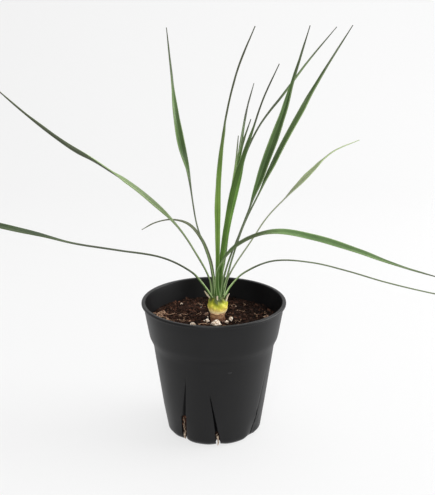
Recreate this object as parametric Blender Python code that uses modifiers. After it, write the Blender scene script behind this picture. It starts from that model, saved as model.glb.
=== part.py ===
"""Potted yucca: a young plant with narrow folded leaves, in a black plastic pot with slits.

Metres, +Z up. The origin is the centre of the pot's underside, on the surface it stands on.
The pot's front is -Y and its right is +X. Azimuths are in degrees from the front, growing
to the right, so 90 is +X. Sizes named in millimetres are multiplied by MM where they are used.
"""
import math
from typing import NamedTuple

import bmesh
import bpy
from mathutils import Matrix, Vector, geometry, noise
from mathutils.bvhtree import BVHTree

MM = 0.001
CLEARANCE = 0.35          # gap between pieces that touch on the real plant

# Pot, a 120 mm nursery pot. Its walls are profiles of (radius, height).
POT_COLUMNS = 64          # faces round the pot, 8 from one slit to the next
POT_WALL = 1.3
POT_FLOOR = 2.5
POT_OUTSIDE = (
    (60.0, 112.4), (60.0, 109.2), (59.4, 107.3), (58.2, 106.0), (57.2, 105.0),
    (53.8, 84.0), (50.9, 78.5), (49.1, 65.0), (47.4, 53.0), (44.4, 31.0), (42.0, 14.0),
    (40.4, 3.0), (38.6, 0.7), (37.0, 0.0),
)
POT_LIP_TOP = ((56.8, 112.6), (57.6, 113.7), (58.6, 114.0), (59.5, 113.5))
POT_INSIDE = ((48.9, 78.1), (52.4, 83.6), (55.7, 104.4))
UNDERSIDE_RING = 27.0     # inside it the floor is round, outside it the floor follows the slits

# Slits, eight round the base. Each is a slanted crease that opens into a slot at the bottom.
SLIT_COUNT = 8
SLIT_STEP = 360.0 / SLIT_COUNT
FIRST_SLIT = -39.0        # azimuth of the first slit's foot
COLUMNS_A_SLIT = POT_COLUMNS // SLIT_COUNT
STRAIGHT_ABOVE = 84.0     # above this height the columns are evenly spaced again
CREASE_DEPTH = 2.5
CREASE_TIP_WIDTH = 1.0
BASE_DIP = 1.9            # how far the base edge draws in beside a slit
BASE_DIP_HEIGHT = 22.0
BASE_DIP_SPREAD = 8.0     # degrees
SLOT_INNER_RADIUS = 30.0
SLOT_OUTER_RADIUS = 50.0
SLOT_SIDES = 16
SLOT_BELOW_BASE = 1.0     # how far a slot's cutter reaches below the base


class Slit(NamedTuple):
    """One kind of slit: its slant in degrees over its height, and its sizes in millimetres."""
    slant: float
    crease_top: float
    crease_width: float
    slot_top: float
    slot_width: float


TALL_SLIT = Slit(slant=12.6, crease_top=65.0, crease_width=4.8, slot_top=25.0, slot_width=4.4)
SHORT_SLIT = Slit(slant=-10.5, crease_top=53.0, crease_width=3.0, slot_top=12.4, slot_width=3.6)

# Soil
SOIL_GAP = 0.45           # from the pot's inner wall
SOIL_HEIGHT = 96.5
SOIL_ROUGHNESS = 1.3
SOIL_GRAIN = 7.0          # size of the lumps that the surface shows
SOIL_RINGS = (51.5, 46.0, 40.0, 33.5, 27.0, 20.5, 14.5, 10.0)
SOIL_HOLE_FLOOR = 84.0

# Stem, a profile of (radius, height) from its crown down to its foot in the soil
STEM_AT = (3.3, -1.0)
STEM_COLUMNS = 32
STEM_CROWN = (
    (2.4, 119.3), (4.6, 118.4), (6.2, 117.0), (7.3, 115.0), (8.2, 112.6),
)
STEM_BULB = (
    (8.7, 109.8), (8.6, 107.6), (7.6, 105.0), (6.5, 103.2), (5.9, 102.4),
    (6.3, 100.6), (6.2, 98.0), (6.4, 95.0), (5.8, 88.0), (4.2, 85.0),
)
STEM_TOP = 119.6
STEM_BOTTOM = 84.4
STEM_RADIUS_IN_SOIL = 6.4
SCAR_COUNT = 5            # scallops that old leaf bases leave round the crown
SCAR_DEPTH = 0.25

# Leaves
BLADE_THICKNESS = 0.7
BLADE_ROWS = 28
FOLD_AT_ROOT = 30.0       # how far each half of the blade is folded up, in degrees
FOLD_AT_MIDDLE = 14.0
FOLD_EASES_BY = 0.45      # share of the length
ROOT_WIDTH = 3.0
TIP_WIDTH = 0.9
TAPER = 1.6               # power of the curve by which a blade narrows to its tip
ROOT_GAP = 0.6            # from the stem to the middle of a blade's end
POINTS_A_SPAN = 8
DIRECTION_REACH = 0.01    # share of the length, each way, that gives a blade's direction


class Leaf(NamedTuple):
    """One blade, in millimetres and degrees."""
    name: str
    root: tuple           # its place on the stem's crown: azimuth and radius from the stem's axis
    route: tuple          # the points that its midrib runs through after the root
    width: float
    widest: float         # share of the length where it is widest
    twist: tuple          # pairs of (share of the length, angle), growing from the root
    colour: tuple


DARK_GREEN = (0.045, 0.105, 0.035)
MID_GREEN = (0.075, 0.18, 0.05)
BRIGHT_GREEN = (0.16, 0.30, 0.075)
PALE_GREEN = (0.24, 0.34, 0.17)
OLIVE = (0.12, 0.12, 0.06)

LEAVES = (
    Leaf("leaf_left_high", (-105, 5.4),
         ((-4, 1, 132), (-12, 3, 148), (-29, 6, 174), (-56, 10, 200), (-87, 15, 220), (-120, 20, 239),
          (-150, 25, 262), (-178, 30, 288)),
         5.4, 0.45, ((0, 0), (0.15, -15), (0.42, -75), (0.57, 0), (0.74, 65), (1, 60)), MID_GREEN),
    Leaf("leaf_left_low", (-58, 5.6),
         ((-9, -8, 130), (-19, -13, 143), (-41, -24, 158), (-73, -39, 168), (-104, -56, 179),
          (-133, -75, 193), (-162, -95, 206), (-190, -118, 214)),
         4.8, 0.6, ((0, 0), (0.5, 0), (0.72, -55), (1, -60)), DARK_GREEN),
    Leaf("leaf_left_upright", (-100, 3.2),
         ((-1, 4, 133), (-5, 8, 148), (-14, 17, 173), (-20, 29, 205), (-28, 44, 237), (-33, 58, 268),
          (-37, 74, 299), (-41, 90, 330)),
         6.8, 0.5, ((0, 10), (0.36, 10), (0.55, -80), (0.75, -60), (1, -20)), DARK_GREEN),
    Leaf("leaf_left_kinked", (-150, 5.6),
         ((0, 7, 125), (-1, 12, 132), (-4, 20, 143), (-11, 31, 157), (-22, 42, 167), (-37, 52, 169),
          (-52, 61, 164), (-65, 70, 155)),
         3.4, 0.35, ((0, 0), (0.5, 20), (1, 30)), OLIVE),
    Leaf("leaf_front_upright", (-22, 3.4),
         ((3, -8, 150), (3, -15, 178), (3, -26, 213), (5, -39, 246), (10, -55, 278), (17, -74, 308),
          (27, -95, 335)),
         5.2, 0.35, ((0, 10), (0.4, 10), (0.66, 75), (1, 80)), BRIGHT_GREEN),
    Leaf("leaf_centre_broad", (20, 2.2),
         ((6, -4, 146), (10, -7, 169), (15, -12, 198), (21, -17, 226), (29, -24, 254), (37, -32, 282),
          (48, -40, 308)),
         7.4, 0.35, ((0, -15), (0.6, -15), (1, 20)), MID_GREEN),
    Leaf("leaf_centre_back", (-165, 4.3),
         ((5, 10, 129), (8, 17, 141), (11, 29, 162), (15, 44, 187), (20, 60, 212), (24, 77, 235),
          (29, 94, 259), (36, 111, 281)),
         3.8, 0.5, ((0, 0), (1, 30)), DARK_GREEN),
    Leaf("leaf_young_long", (150, 1.6),
         ((6, 3, 139), (9, 8, 156), (12, 14, 177), (15, 21, 198), (19, 29, 218), (24, 38, 238),
          (31, 48, 257)),
         2.8, 0.5, ((0, 0), (1, 40)), MID_GREEN),
    Leaf("leaf_young_short", (-90, 1.0),
         ((3, 0, 137), (6, 2, 152), (9, 5, 171), (12, 9, 190), (15, 13, 208), (18, 18, 227),
          (20, 23, 247)),
         2.6, 0.4, ((0, -60), (1, -40)), BRIGHT_GREEN),
    Leaf("leaf_back_twisted", (150, 4.0),
         ((7, 6, 134), (9, 12, 151), (14, 22, 180), (22, 35, 216), (37, 47, 250), (60, 62, 277),
          (82, 79, 305), (106, 95, 331)),
         4.4, 0.5, ((0, -20), (0.4, -50), (1, -55)), DARK_GREEN),
    Leaf("leaf_right_broad", (48, 4.3),
         ((8, -4, 132), (12, -5, 148), (21, -6, 173), (33, -8, 205), (44, -10, 237), (54, -12, 269),
          (62, -15, 301), (70, -18, 334)),
         7.6, 0.5, ((0, 20), (0.36, 42), (0.58, 120), (0.85, 110), (1, 60)), DARK_GREEN),
    Leaf("leaf_right_tall", (95, 3.6),
         ((11, 0, 133), (16, 2, 149), (26, 6, 177), (42, 11, 209), (57, 18, 241), (75, 25, 273),
          (93, 32, 303), (112, 40, 333)),
         5.6, 0.6, ((0, 0), (0.36, 5), (0.62, 75), (1, 40)), DARK_GREEN),
    Leaf("leaf_right_pale", (118, 5.7),
         ((11, 6, 128), (17, 12, 139), (30, 22, 156), (46, 36, 176), (66, 51, 193), (85, 66, 209),
          (106, 81, 224), (131, 95, 232)),
         5.8, 0.65, ((0, -10), (0.2, -25), (0.52, -15), (0.68, 60), (0.85, 20), (1, 0)), PALE_GREEN),
    Leaf("leaf_right_arching", (12, 5.6),
         ((3, -8, 131), (5, -11, 146), (19, -18, 167), (46, -27, 180), (78, -37, 178), (108, -49, 171),
          (137, -62, 163), (167, -75, 159)),
         5.6, 0.48, ((0, 10), (0.2, 60), (0.42, 115), (0.6, 125), (0.82, 100), (1, 90)), MID_GREEN),
    Leaf("leaf_right_low", (75, 5.9),
         ((14, -1, 126), (25, 1, 137), (49, 4, 146), (81, 7, 143), (112, 11, 135), (143, 15, 125),
          (174, 18, 116), (213, 22, 106)),
         4.6, 0.5, ((0, 0), (0.5, 0), (1, 10)), DARK_GREEN),
)

# Dry stubs of old leaves on the stem's shoulder
STUB_COLOUR = (0.55, 0.47, 0.33)
STUBS = (
    Leaf("stub_left", (-92, 6.7), ((-5.0, -1.4, 119.5), (-7.4, -2.0, 123.5)),
         2.0, 0.4, ((0, 0), (1, -50)), STUB_COLOUR),
    Leaf("stub_right", (72, 7.4), ((11.8, -3.4, 118.4), (12.8, -4.0, 121.8)),
         3.0, 0.5, ((0, 0), (1, 30)), STUB_COLOUR),
    Leaf("stub_front", (-3, 7.0), ((2.8, -8.6, 117.6), (3.3, -9.0, 119.0)),
         1.8, 0.4, ((0, 0), (1, 10)), STUB_COLOUR),
)
STUB_ROWS = 5

# Pumice lumps on the soil: name, place, and half sizes along X, Y and Z
PUMICE = (
    ("pumice_foot_large", (2.2, -16.0), (4.6, 3.2, 2.6)),
    ("pumice_front_left", (-16.8, -17.0), (2.7, 2.0, 1.8)),
    ("pumice_left", (-28.5, 4.5), (1.8, 1.4, 1.2)),
    ("pumice_right", (14.2, -5.5), (1.7, 1.6, 2.0)),
    ("pumice_far_right", (43.5, 0.5), (2.2, 1.8, 1.6)),
    ("pumice_foot_left", (-5.0, -8.6), (1.9, 1.7, 1.5)),
    ("pumice_foot_right", (10.6, -10.2), (1.7, 1.5, 1.4)),
    ("pumice_foot_back", (-6.5, 8.5), (2.0, 1.7, 1.4)),
)
PUMICE_ROUGHNESS = 0.22
PUMICE_GRAIN = 1.3        # how quickly a lump's shape changes over its surface

# Dry roots on the soil, as places on its surface
FIBRES = (
    ("fibre_curl", 0.45,
     ((-51, -3), (-46, -6.5), (-40.5, -6), (-38, -2), (-41, 1.5), (-46, 1), (-47.5, -3), (-43.5, -9),
      (-37, -10))),
    ("fibre_thread", 0.4, ((-12.5, -15.2), (-10, -14), (-7.5, -15), (-5, -14), (-3.6, -14.6))),
)
FIBRE_LIFT = 0.9

# Fleshy root tips in the slots: name, number of the slit, radius, and the route as places
# (outwards from the soil, sideways to the right, height)
ROOT_TIPS = (
    ("root_slot_left", 0, 1.0, ((2.0, -0.2, 8.0), (2.6, -0.6, 5.6), (3.2, -0.4, 3.2), (4.4, 0.2, 1.4))),
    ("root_slot_front", 1, 0.9, ((2.4, 0.0, 9.0), (2.8, 0.2, 6.0), (3.8, 0.0, 2.8), (8.0, -0.8, 1.2))),
    ("root_slot_right", 2, 0.9, ((2.2, 0.2, 11.0), (2.6, -0.3, 8.4), (3.0, 0.3, 5.6), (3.6, 0.4, 3.6))),
)

COLLECTION_NAME = "potted_yucca"


def clear_scene():
    """Removes what the file starts with."""
    for item in list(bpy.data.objects):
        bpy.data.objects.remove(item, do_unlink=True)


def new_collection(name):
    """Makes a collection under the scene's own."""
    collection = bpy.data.collections.new(name)
    bpy.context.scene.collection.children.link(collection)
    return collection


def material(name, colour, roughness):
    """Makes a plain Principled material."""
    made = bpy.data.materials.new(name)
    made.use_nodes = True
    shader = made.node_tree.nodes["Principled BSDF"]
    shader.inputs["Base Color"].default_value = (*colour, 1.0)
    shader.inputs["Roughness"].default_value = roughness
    shader.inputs["Metallic"].default_value = 0.0
    return made


def add_object(name, data, finish, collection):
    """Links an object with its material, shaded smooth up to its sharp edges."""
    item = bpy.data.objects.new(name, data)
    collection.objects.link(item)
    data.materials.clear()
    data.materials.append(finish)
    if isinstance(data, bpy.types.Mesh):
        data.shade_smooth()
        data.set_sharp_from_angle(angle=math.radians(40))
    return item


def evaluated_mesh(item):
    """Returns the mesh that the object's modifiers or curve give."""
    depsgraph = bpy.context.evaluated_depsgraph_get()
    return bpy.data.meshes.new_from_object(item.evaluated_get(depsgraph), depsgraph=depsgraph)


def turned_mesh(name, profile, columns):
    """Turns a profile of (radius, height) round Z. Its outer side runs from top to bottom."""
    outline = bpy.data.meshes.new(name + "_outline")
    corners = [(radius * MM, 0.0, height * MM) for radius, height in profile]
    outline.from_pydata(corners, [(i, i + 1) for i in range(len(corners) - 1)], [])
    blank = bpy.data.objects.new(name + "_outline", outline)
    bpy.context.scene.collection.objects.link(blank)
    screw = blank.modifiers.new("turn", "SCREW")
    screw.steps = columns
    screw.render_steps = columns
    screw.use_merge_vertices = True
    screw.merge_threshold = 0.00001
    screw.use_smooth_shade = False
    turned = evaluated_mesh(blank)
    bpy.data.objects.remove(blank)
    bpy.data.meshes.remove(outline)
    return turned


def azimuth_point(azimuth, radius, height):
    """Returns a point in metres from an azimuth in degrees and a radius and height in mm."""
    angle = math.radians(azimuth)
    return Vector((radius * math.sin(angle), -radius * math.cos(angle), height)) * MM


def slit_kind(number):
    """Tall and short slits take turns round the pot."""
    return TALL_SLIT if number % 2 == 0 else SHORT_SLIT


def crease_azimuth(number, height):
    """Azimuth of a crease's middle at a height, straightened towards the collar."""
    kind = slit_kind(number)
    shift = kind.slant * min(height / kind.crease_top, 1.0)
    if height > kind.crease_top:
        shift *= max(0.0, (STRAIGHT_ABOVE - height) / (STRAIGHT_ABOVE - kind.crease_top))
    return FIRST_SLIT + SLIT_STEP * number + shift


def crease_half_angle(number, height, radius):
    """Half of a crease's width at a height, in degrees. Above the crease it opens out again."""
    kind = slit_kind(number)
    if height <= kind.crease_top:
        width = kind.crease_width * (1.0 - height / kind.crease_top)
        return math.degrees(max(width, CREASE_TIP_WIDTH) / 2 / radius)
    share = min(1.0, (height - kind.crease_top) / (STRAIGHT_ABOVE - kind.crease_top))
    return share * SLIT_STEP / COLUMNS_A_SLIT + (1.0 - share) * math.degrees(CREASE_TIP_WIDTH / 2 / radius)


def column_azimuth(column, height, radius):
    """Azimuth of one of the wall's columns: each slit has three and the rest lie between them."""
    number, place = divmod(column, COLUMNS_A_SLIT)
    middle = crease_azimuth(number, height)
    if place == 0:
        return middle
    start = middle + crease_half_angle(number, height, radius)
    end = (crease_azimuth(number + 1, height) - crease_half_angle(number + 1, height, radius))
    return start + (end - start) * (place - 1) / (COLUMNS_A_SLIT - 2)


def draw_in(column, azimuth, height):
    """How far the wall is drawn in at a place, in millimetres."""
    depth = 0.0
    number, place = divmod(column, COLUMNS_A_SLIT)
    kind = slit_kind(number)
    if place == 0 and height < kind.crease_top:
        depth = CREASE_DEPTH * (1.0 - height / kind.crease_top)
    if height < BASE_DIP_HEIGHT:
        near = min(abs(azimuth - crease_azimuth(n, height)) for n in (number, number + 1))
        dip = math.exp(-(near / BASE_DIP_SPREAD) ** 2)
        depth += BASE_DIP * dip * (1.0 - height / BASE_DIP_HEIGHT)
    return depth


def shape_wall(mesh):
    """Moves a turned wall's columns to the slits and draws the creases and the base in."""
    for vertex in mesh.vertices:
        radius = math.hypot(vertex.co.x, vertex.co.y) / MM
        if radius < UNDERSIDE_RING + 0.5:
            continue
        height = vertex.co.z / MM
        turn = math.degrees(math.atan2(vertex.co.x, -vertex.co.y))
        column = round((turn - FIRST_SLIT) / 360.0 * POT_COLUMNS) % POT_COLUMNS
        azimuth = column_azimuth(column, height, radius)
        radius -= draw_in(column, azimuth, height)
        vertex.co = azimuth_point(azimuth, radius, height)


def inner_wall(gap):
    """Profile up the pot's inside, from its floor to the soil's top, a gap away from it."""
    low = [(radius - POT_WALL - gap, max(height, POT_FLOOR + gap))
           for radius, height in reversed(POT_OUTSIDE) if 3.0 <= height <= 65.0]
    high = [(radius - gap, height) for radius, height in POT_INSIDE]
    return low + high


def slot_cutter(number, collection):
    """Makes the slanted, round-topped prism that opens one slit at the pot's base."""
    kind = slit_kind(number)
    rim = kind.slot_width / 2
    shape = bmesh.new()
    bmesh.ops.create_cone(shape, cap_ends=True, segments=SLOT_SIDES, radius1=rim * MM, radius2=rim * MM,
                          depth=(SLOT_OUTER_RADIUS - SLOT_INNER_RADIUS) * MM)
    bmesh.ops.rotate(shape, verts=shape.verts, cent=(0, 0, 0), matrix=Matrix.Rotation(math.pi / 2, 3, "X"))
    centre = kind.slot_top - rim
    for vertex in shape.verts:
        if vertex.co.z < -0.1 * MM:
            vertex.co.z -= (centre + SLOT_BELOW_BASE) * MM
    bmesh.ops.triangulate(shape, faces=shape.faces)
    cutter = bpy.data.meshes.new(f"slot_cutter_{number}")
    shape.to_mesh(cutter)
    shape.free()
    item = bpy.data.objects.new(cutter.name, cutter)
    collection.objects.link(item)
    radius = (SLOT_INNER_RADIUS + SLOT_OUTER_RADIUS) / 2
    top = crease_azimuth(number, centre)
    foot = crease_azimuth(number, 0.0)
    wall = POT_OUTSIDE[-3][0]
    lean = math.atan(math.radians(top - foot) * wall / centre)
    item.location = azimuth_point(top, radius, centre)
    item.rotation_euler = (0.0, lean, math.radians(top))
    item.hide_render = True
    item.display_type = "WIRE"
    return item


def make_pot(parts, cutters):
    """The pot: a turned wall with creases, cut open by a slot at each."""
    profile = [(0.0, POT_FLOOR), (UNDERSIDE_RING, POT_FLOOR)]
    profile += inner_wall(0.0)
    profile += list(POT_LIP_TOP)
    profile += list(POT_OUTSIDE)
    profile += [(UNDERSIDE_RING, 0.0), (0.0, 0.0)]
    wall = turned_mesh("pot", profile, POT_COLUMNS)
    shape_wall(wall)
    wall.name = "pot"
    plastic = material("black_plastic", (0.022, 0.022, 0.024), 0.5)
    pot = add_object("pot", wall, plastic, parts)
    for number in range(SLIT_COUNT):
        cut = pot.modifiers.new(f"slot_{number}", "BOOLEAN")
        cut.operation = "DIFFERENCE"
        cut.solver = "EXACT"
        cut.object = slot_cutter(number, cutters)
    return pot


def soil_height(x, y):
    """Height of the soil's rough top at a place, all in millimetres."""
    place = Vector((x, y, 0.0)) / SOIL_GRAIN
    return SOIL_HEIGHT + SOIL_ROUGHNESS * noise.fractal(place, 1.0, 2.0, 2)


def make_soil(parts):
    """The soil: it fills the pot a gap away from its wall, with a plain hole for the stem."""
    hole = STEM_RADIUS_IN_SOIL + CLEARANCE
    profile = [(0.0, SOIL_HOLE_FLOOR), (hole, SOIL_HOLE_FLOOR), (hole, SOIL_HEIGHT)]
    profile += [(radius, SOIL_HEIGHT) for radius in reversed(SOIL_RINGS)]
    side = [point for point in inner_wall(SOIL_GAP) if point[1] < SOIL_HEIGHT]
    share = (SOIL_HEIGHT - POT_INSIDE[1][1]) / (POT_INSIDE[2][1] - POT_INSIDE[1][1])
    rim = POT_INSIDE[1][0] + share * (POT_INSIDE[2][0] - POT_INSIDE[1][0]) - SOIL_GAP
    profile += [(rim, SOIL_HEIGHT)]
    profile += list(reversed(side))
    profile += [(UNDERSIDE_RING, POT_FLOOR + SOIL_GAP), (0.0, POT_FLOOR + SOIL_GAP)]
    mesh = turned_mesh("soil", profile, POT_COLUMNS)
    shape_wall(mesh)
    for vertex in mesh.vertices:
        x, y, z = vertex.co / MM
        radius = math.hypot(x, y)
        if z < SOIL_HOLE_FLOOR + 1.0:
            if radius < hole + 1.0 and z > SOIL_HOLE_FLOOR - 1.0:
                vertex.co += Vector((*STEM_AT, 0.0)) * MM
            continue
        slide = max(0.0, 1.0 - (radius - hole) / (SOIL_RINGS[0] - hole))
        x += STEM_AT[0] * slide
        y += STEM_AT[1] * slide
        vertex.co = Vector((x, y, soil_height(x, y) if radius < rim - 0.5 else z)) * MM
    mesh.name = "soil"
    return add_object("soil", mesh, material("soil", (0.045, 0.026, 0.018), 0.95), parts)


def stem_profile():
    """Profile of the stem from its crown's middle down to its foot's middle."""
    return ((0.0, STEM_TOP),) + STEM_CROWN + STEM_BULB + ((0.0, STEM_BOTTOM),)


def scar(azimuth, height):
    """How far the stem's side stands out at a place, for the scars of old leaf bases."""
    if not STEM_BULB[1][1] < height < STEM_CROWN[0][1]:
        return 0.0
    return SCAR_DEPTH * math.cos(azimuth * SCAR_COUNT + height)


def make_stem(parts):
    """The stem: a turned bulb on its crown, with its foot in the soil's hole."""
    mesh = turned_mesh("stem", stem_profile(), STEM_COLUMNS)
    for vertex in mesh.vertices:
        radius = math.hypot(vertex.co.x, vertex.co.y)
        if radius > 0.001:
            azimuth = math.atan2(vertex.co.x, -vertex.co.y)
            grown = radius + scar(azimuth, vertex.co.z / MM) * MM
            vertex.co.x *= grown / radius
            vertex.co.y *= grown / radius
        vertex.co += Vector((*STEM_AT, 0.0)) * MM
    mesh.name = "stem"
    return add_object("stem", mesh, material("stem", (0.42, 0.42, 0.10), 0.55), parts)


def smooth_route(points):
    """Runs a smooth curve through a route's points, in metres."""
    knots = [Vector(point) * MM for point in points]
    last = len(knots) - 1
    route = [knots[0]]
    for i in range(last):
        before, start, end, after = knots[max(i - 1, 0)], knots[i], knots[i + 1], knots[min(i + 2, last)]
        reach = (end - start).length / 3
        leave = (end - before).normalized() * reach
        arrive = (after - start).normalized() * reach
        span = geometry.interpolate_bezier(start, start + leave, end - arrive, end, POINTS_A_SPAN + 1)
        route += span[1:]
    return route


def along(route, share):
    """Returns the point at a share of a route's length."""
    steps = [(b - a).length for a, b in zip(route, route[1:])]
    left = share * sum(steps)
    for start, end, step in zip(route, route[1:], steps):
        if left <= step:
            return start.lerp(end, left / step)
        left -= step
    return route[-1].copy()


def between(pairs, share):
    """Reads a value from pairs of (share, value), easing from each to the next."""
    for (start, low), (end, high) in zip(pairs, pairs[1:]):
        if share <= end:
            part = (share - start) / (end - start)
            part = part * part * (3.0 - 2.0 * part)
            return low + (high - low) * part
    return pairs[-1][1]


def blade_width(leaf, share):
    """Width of a blade at a share of its length, in millimetres."""
    root = min(ROOT_WIDTH, leaf.width)
    if share < leaf.widest:
        part = share / leaf.widest
        return root + (leaf.width - root) * part * part * (3.0 - 2.0 * part)
    part = (share - leaf.widest) / (1.0 - leaf.widest)
    return leaf.width + (TIP_WIDTH - leaf.width) * part ** TAPER


def crown_height(x, y):
    """Height of the stem's crown under a place, all in millimetres."""
    radius = math.hypot(x - STEM_AT[0], y - STEM_AT[1])
    profile = ((0.0, STEM_TOP),) + STEM_CROWN + (STEM_BULB[0],)
    for (inner, high), (outer, low) in zip(profile, profile[1:]):
        if radius <= outer:
            return high + (low - high) * (radius - inner) / (outer - inner)
    return profile[-1][1]


def blade_mesh(leaf, rows):
    """Lofts a folded blade along its route, three points wide, and gives its rows of points."""
    outward = azimuth_point(leaf.root[0], 1.0, 0.0).normalized()
    x = STEM_AT[0] + outward.x * leaf.root[1]
    y = STEM_AT[1] + outward.y * leaf.root[1]
    route = smooth_route(((x, y, crown_height(x, y) + ROOT_GAP),) + leaf.route)
    side = Vector((-outward.y, outward.x, 0.0))
    shape = bmesh.new()
    strips = []
    folds = ((0, FOLD_AT_ROOT), (FOLD_EASES_BY, FOLD_AT_MIDDLE), (1, FOLD_AT_MIDDLE))
    for row in range(rows + 1):
        share = row / rows
        point = along(route, share)
        ahead = along(route, min(share + DIRECTION_REACH, 1.0))
        ahead -= along(route, max(share - DIRECTION_REACH, 0.0))
        ahead.normalize()
        side = (side - ahead * side.dot(ahead)).normalized()
        turned = Matrix.Rotation(math.radians(between(leaf.twist, share)), 3, ahead) @ side
        face = ahead.cross(turned)
        fold = math.radians(between(folds, share))
        half = blade_width(leaf, share) / 2 * MM
        edge = face * half * math.sin(fold)
        across = turned * half * math.cos(fold)
        strips.append([shape.verts.new(p) for p in (point - across + edge, point, point + across + edge)])
    for vertex in strips[0]:
        vertex.co.z = (crown_height(vertex.co.x / MM, vertex.co.y / MM) + ROOT_GAP) * MM
    for low, high in zip(strips, strips[1:]):
        shape.faces.new((low[0], low[1], high[1]))
        shape.faces.new((low[0], high[1], high[0]))
        shape.faces.new((low[1], low[2], high[1]))
        shape.faces.new((low[2], high[2], high[1]))
    mesh = bpy.data.meshes.new(leaf.name)
    shape.to_mesh(mesh)
    shape.free()
    return mesh


def make_blade(leaf, rows, roughness, parts):
    """One blade: an open folded strip with Solidify for its thickness."""
    finish = material(leaf.name, leaf.colour, roughness)
    blade = add_object(leaf.name, blade_mesh(leaf, rows), finish, parts)
    shell = blade.modifiers.new("thickness", "SOLIDIFY")
    shell.thickness = BLADE_THICKNESS * MM
    shell.offset = 0.0
    shell.use_even_offset = True
    return blade


def settle(item, ground):
    """Lowers or lifts an object until its lowest gap over the soil is the clearance."""
    gaps = []
    for vertex in item.data.vertices:
        above = Vector((vertex.co.x, vertex.co.y, 2 * SOIL_HEIGHT * MM))
        hit = ground.ray_cast(above, Vector((0, 0, -1)))[0]
        gaps.append(vertex.co.z - hit.z)
    item.data.transform(Matrix.Translation((0, 0, CLEARANCE * MM - min(gaps))))


def make_pumice(parts, ground):
    """Pale lumps, each a sphere pushed out of shape by noise and laid on the soil."""
    finish = material("pumice", (0.62, 0.55, 0.45), 0.9)
    for number, (name, place, sizes) in enumerate(PUMICE):
        shape = bmesh.new()
        bmesh.ops.create_icosphere(shape, subdivisions=2, radius=1.0)
        for vertex in shape.verts:
            place_in_noise = vertex.co * PUMICE_GRAIN + Vector((number * 7.0, 0.0, 0.0))
            vertex.co *= 1.0 + PUMICE_ROUGHNESS * noise.noise(place_in_noise)
            vertex.co = Vector([side * half * MM for side, half in zip(vertex.co, sizes)])
            vertex.co += Vector((*place, SOIL_HEIGHT + sizes[2])) * MM
        mesh = bpy.data.meshes.new(name)
        shape.to_mesh(mesh)
        shape.free()
        settle(add_object(name, mesh, finish, parts), ground)


def tube_mesh(name, points, radii, bevel_resolution):
    """Makes a closed tube through points in metres, with its radius at each point in mm."""
    curve = bpy.data.curves.new(name, "CURVE")
    curve.dimensions = "3D"
    curve.bevel_depth = MM
    curve.bevel_resolution = bevel_resolution
    curve.use_fill_caps = True
    spline = curve.splines.new("POLY")
    spline.points.add(len(points) - 1)
    for spot, point, radius in zip(spline.points, points, radii):
        spot.co = (*point, 1.0)
        spot.radius = radius
    item = bpy.data.objects.new(name, curve)
    bpy.context.scene.collection.objects.link(item)
    mesh = evaluated_mesh(item)
    bpy.data.objects.remove(item)
    bpy.data.curves.remove(curve)
    joined = bmesh.new()
    joined.from_mesh(mesh)
    bmesh.ops.remove_doubles(joined, verts=joined.verts, dist=0.00001)
    bmesh.ops.recalc_face_normals(joined, faces=joined.faces)
    joined.to_mesh(mesh)
    joined.free()
    mesh.name = name
    return mesh


def make_fibres(parts, ground):
    """Dry roots that lie in loops on the soil."""
    finish = material("dry_root", (0.36, 0.22, 0.11), 0.8)
    for name, radius, places in FIBRES:
        lifts = [radius + FIBRE_LIFT * (number % 3) / 2 for number in range(len(places))]
        route = smooth_route([(x, y, SOIL_HEIGHT + lift) for (x, y), lift in zip(places, lifts)])
        route = route[::2]
        mesh = tube_mesh(name, route, [radius] * len(route), 0)
        settle(add_object(name, mesh, finish, parts), ground)


def soil_radius(number, height):
    """Radius of the soil's side at the middle of a slit, in millimetres."""
    walls = list(reversed(POT_OUTSIDE))
    for (inner, low), (outer, high) in zip(walls, walls[1:]):
        if height <= high:
            outside = inner + (outer - inner) * (height - low) / (high - low)
            break
    azimuth = crease_azimuth(number, height)
    return outside - POT_WALL - SOIL_GAP - draw_in(number * COLUMNS_A_SLIT, azimuth, height)


def make_root_tips(parts):
    """Fleshy roots that reach out of the soil through the slots."""
    finish = material("root_tip", (0.62, 0.47, 0.30), 0.6)
    for name, number, radius, places in ROOT_TIPS:
        route = []
        for outwards, sideways, height in places:
            azimuth = crease_azimuth(number, height)
            spot = azimuth_point(azimuth, soil_radius(number, height) + outwards, height)
            route.append(spot + azimuth_point(azimuth + 90.0, sideways, 0.0))
        fine = smooth_route([point / MM for point in route])[::2]
        shrink = 0.5 / (len(fine) - 1)
        radii = [radius * (1.0 - shrink * step) for step in range(len(fine))]
        add_object(name, tube_mesh(name, fine, radii, 1), finish, parts)


def main():
    """Builds the plant and its pot."""
    clear_scene()
    parts = new_collection(COLLECTION_NAME)
    cutters = new_collection("cutters")
    make_pot(parts, cutters)
    soil = make_soil(parts)
    make_stem(parts)
    for leaf in LEAVES:
        make_blade(leaf, BLADE_ROWS, 0.5, parts)
    for stub in STUBS:
        make_blade(stub, STUB_ROWS, 0.85, parts)
    ground = BVHTree.FromPolygons([v.co for v in soil.data.vertices],
                                  [list(p.vertices) for p in soil.data.polygons])
    make_pumice(parts, ground)
    make_fibres(parts, ground)
    make_root_tips(parts)


main()
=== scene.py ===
"""Potted yucca, a young plant in a black slit nursery pot: its surfaces, its studio and its camera.

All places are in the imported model's frame, in metres: +Z up, the origin at the centre of the pot's
underside, the front at -Y. Sizes in the classes are in millimetres and are multiplied by MM where
they are used. Azimuths are in degrees from the front and grow to the right, so 90 is +X.
"""
import logging
import math
import random
from dataclasses import dataclass, field
from enum import Enum
from typing import Sequence

import bpy
from mathutils import Euler, Matrix, Vector, geometry, noise


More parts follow.
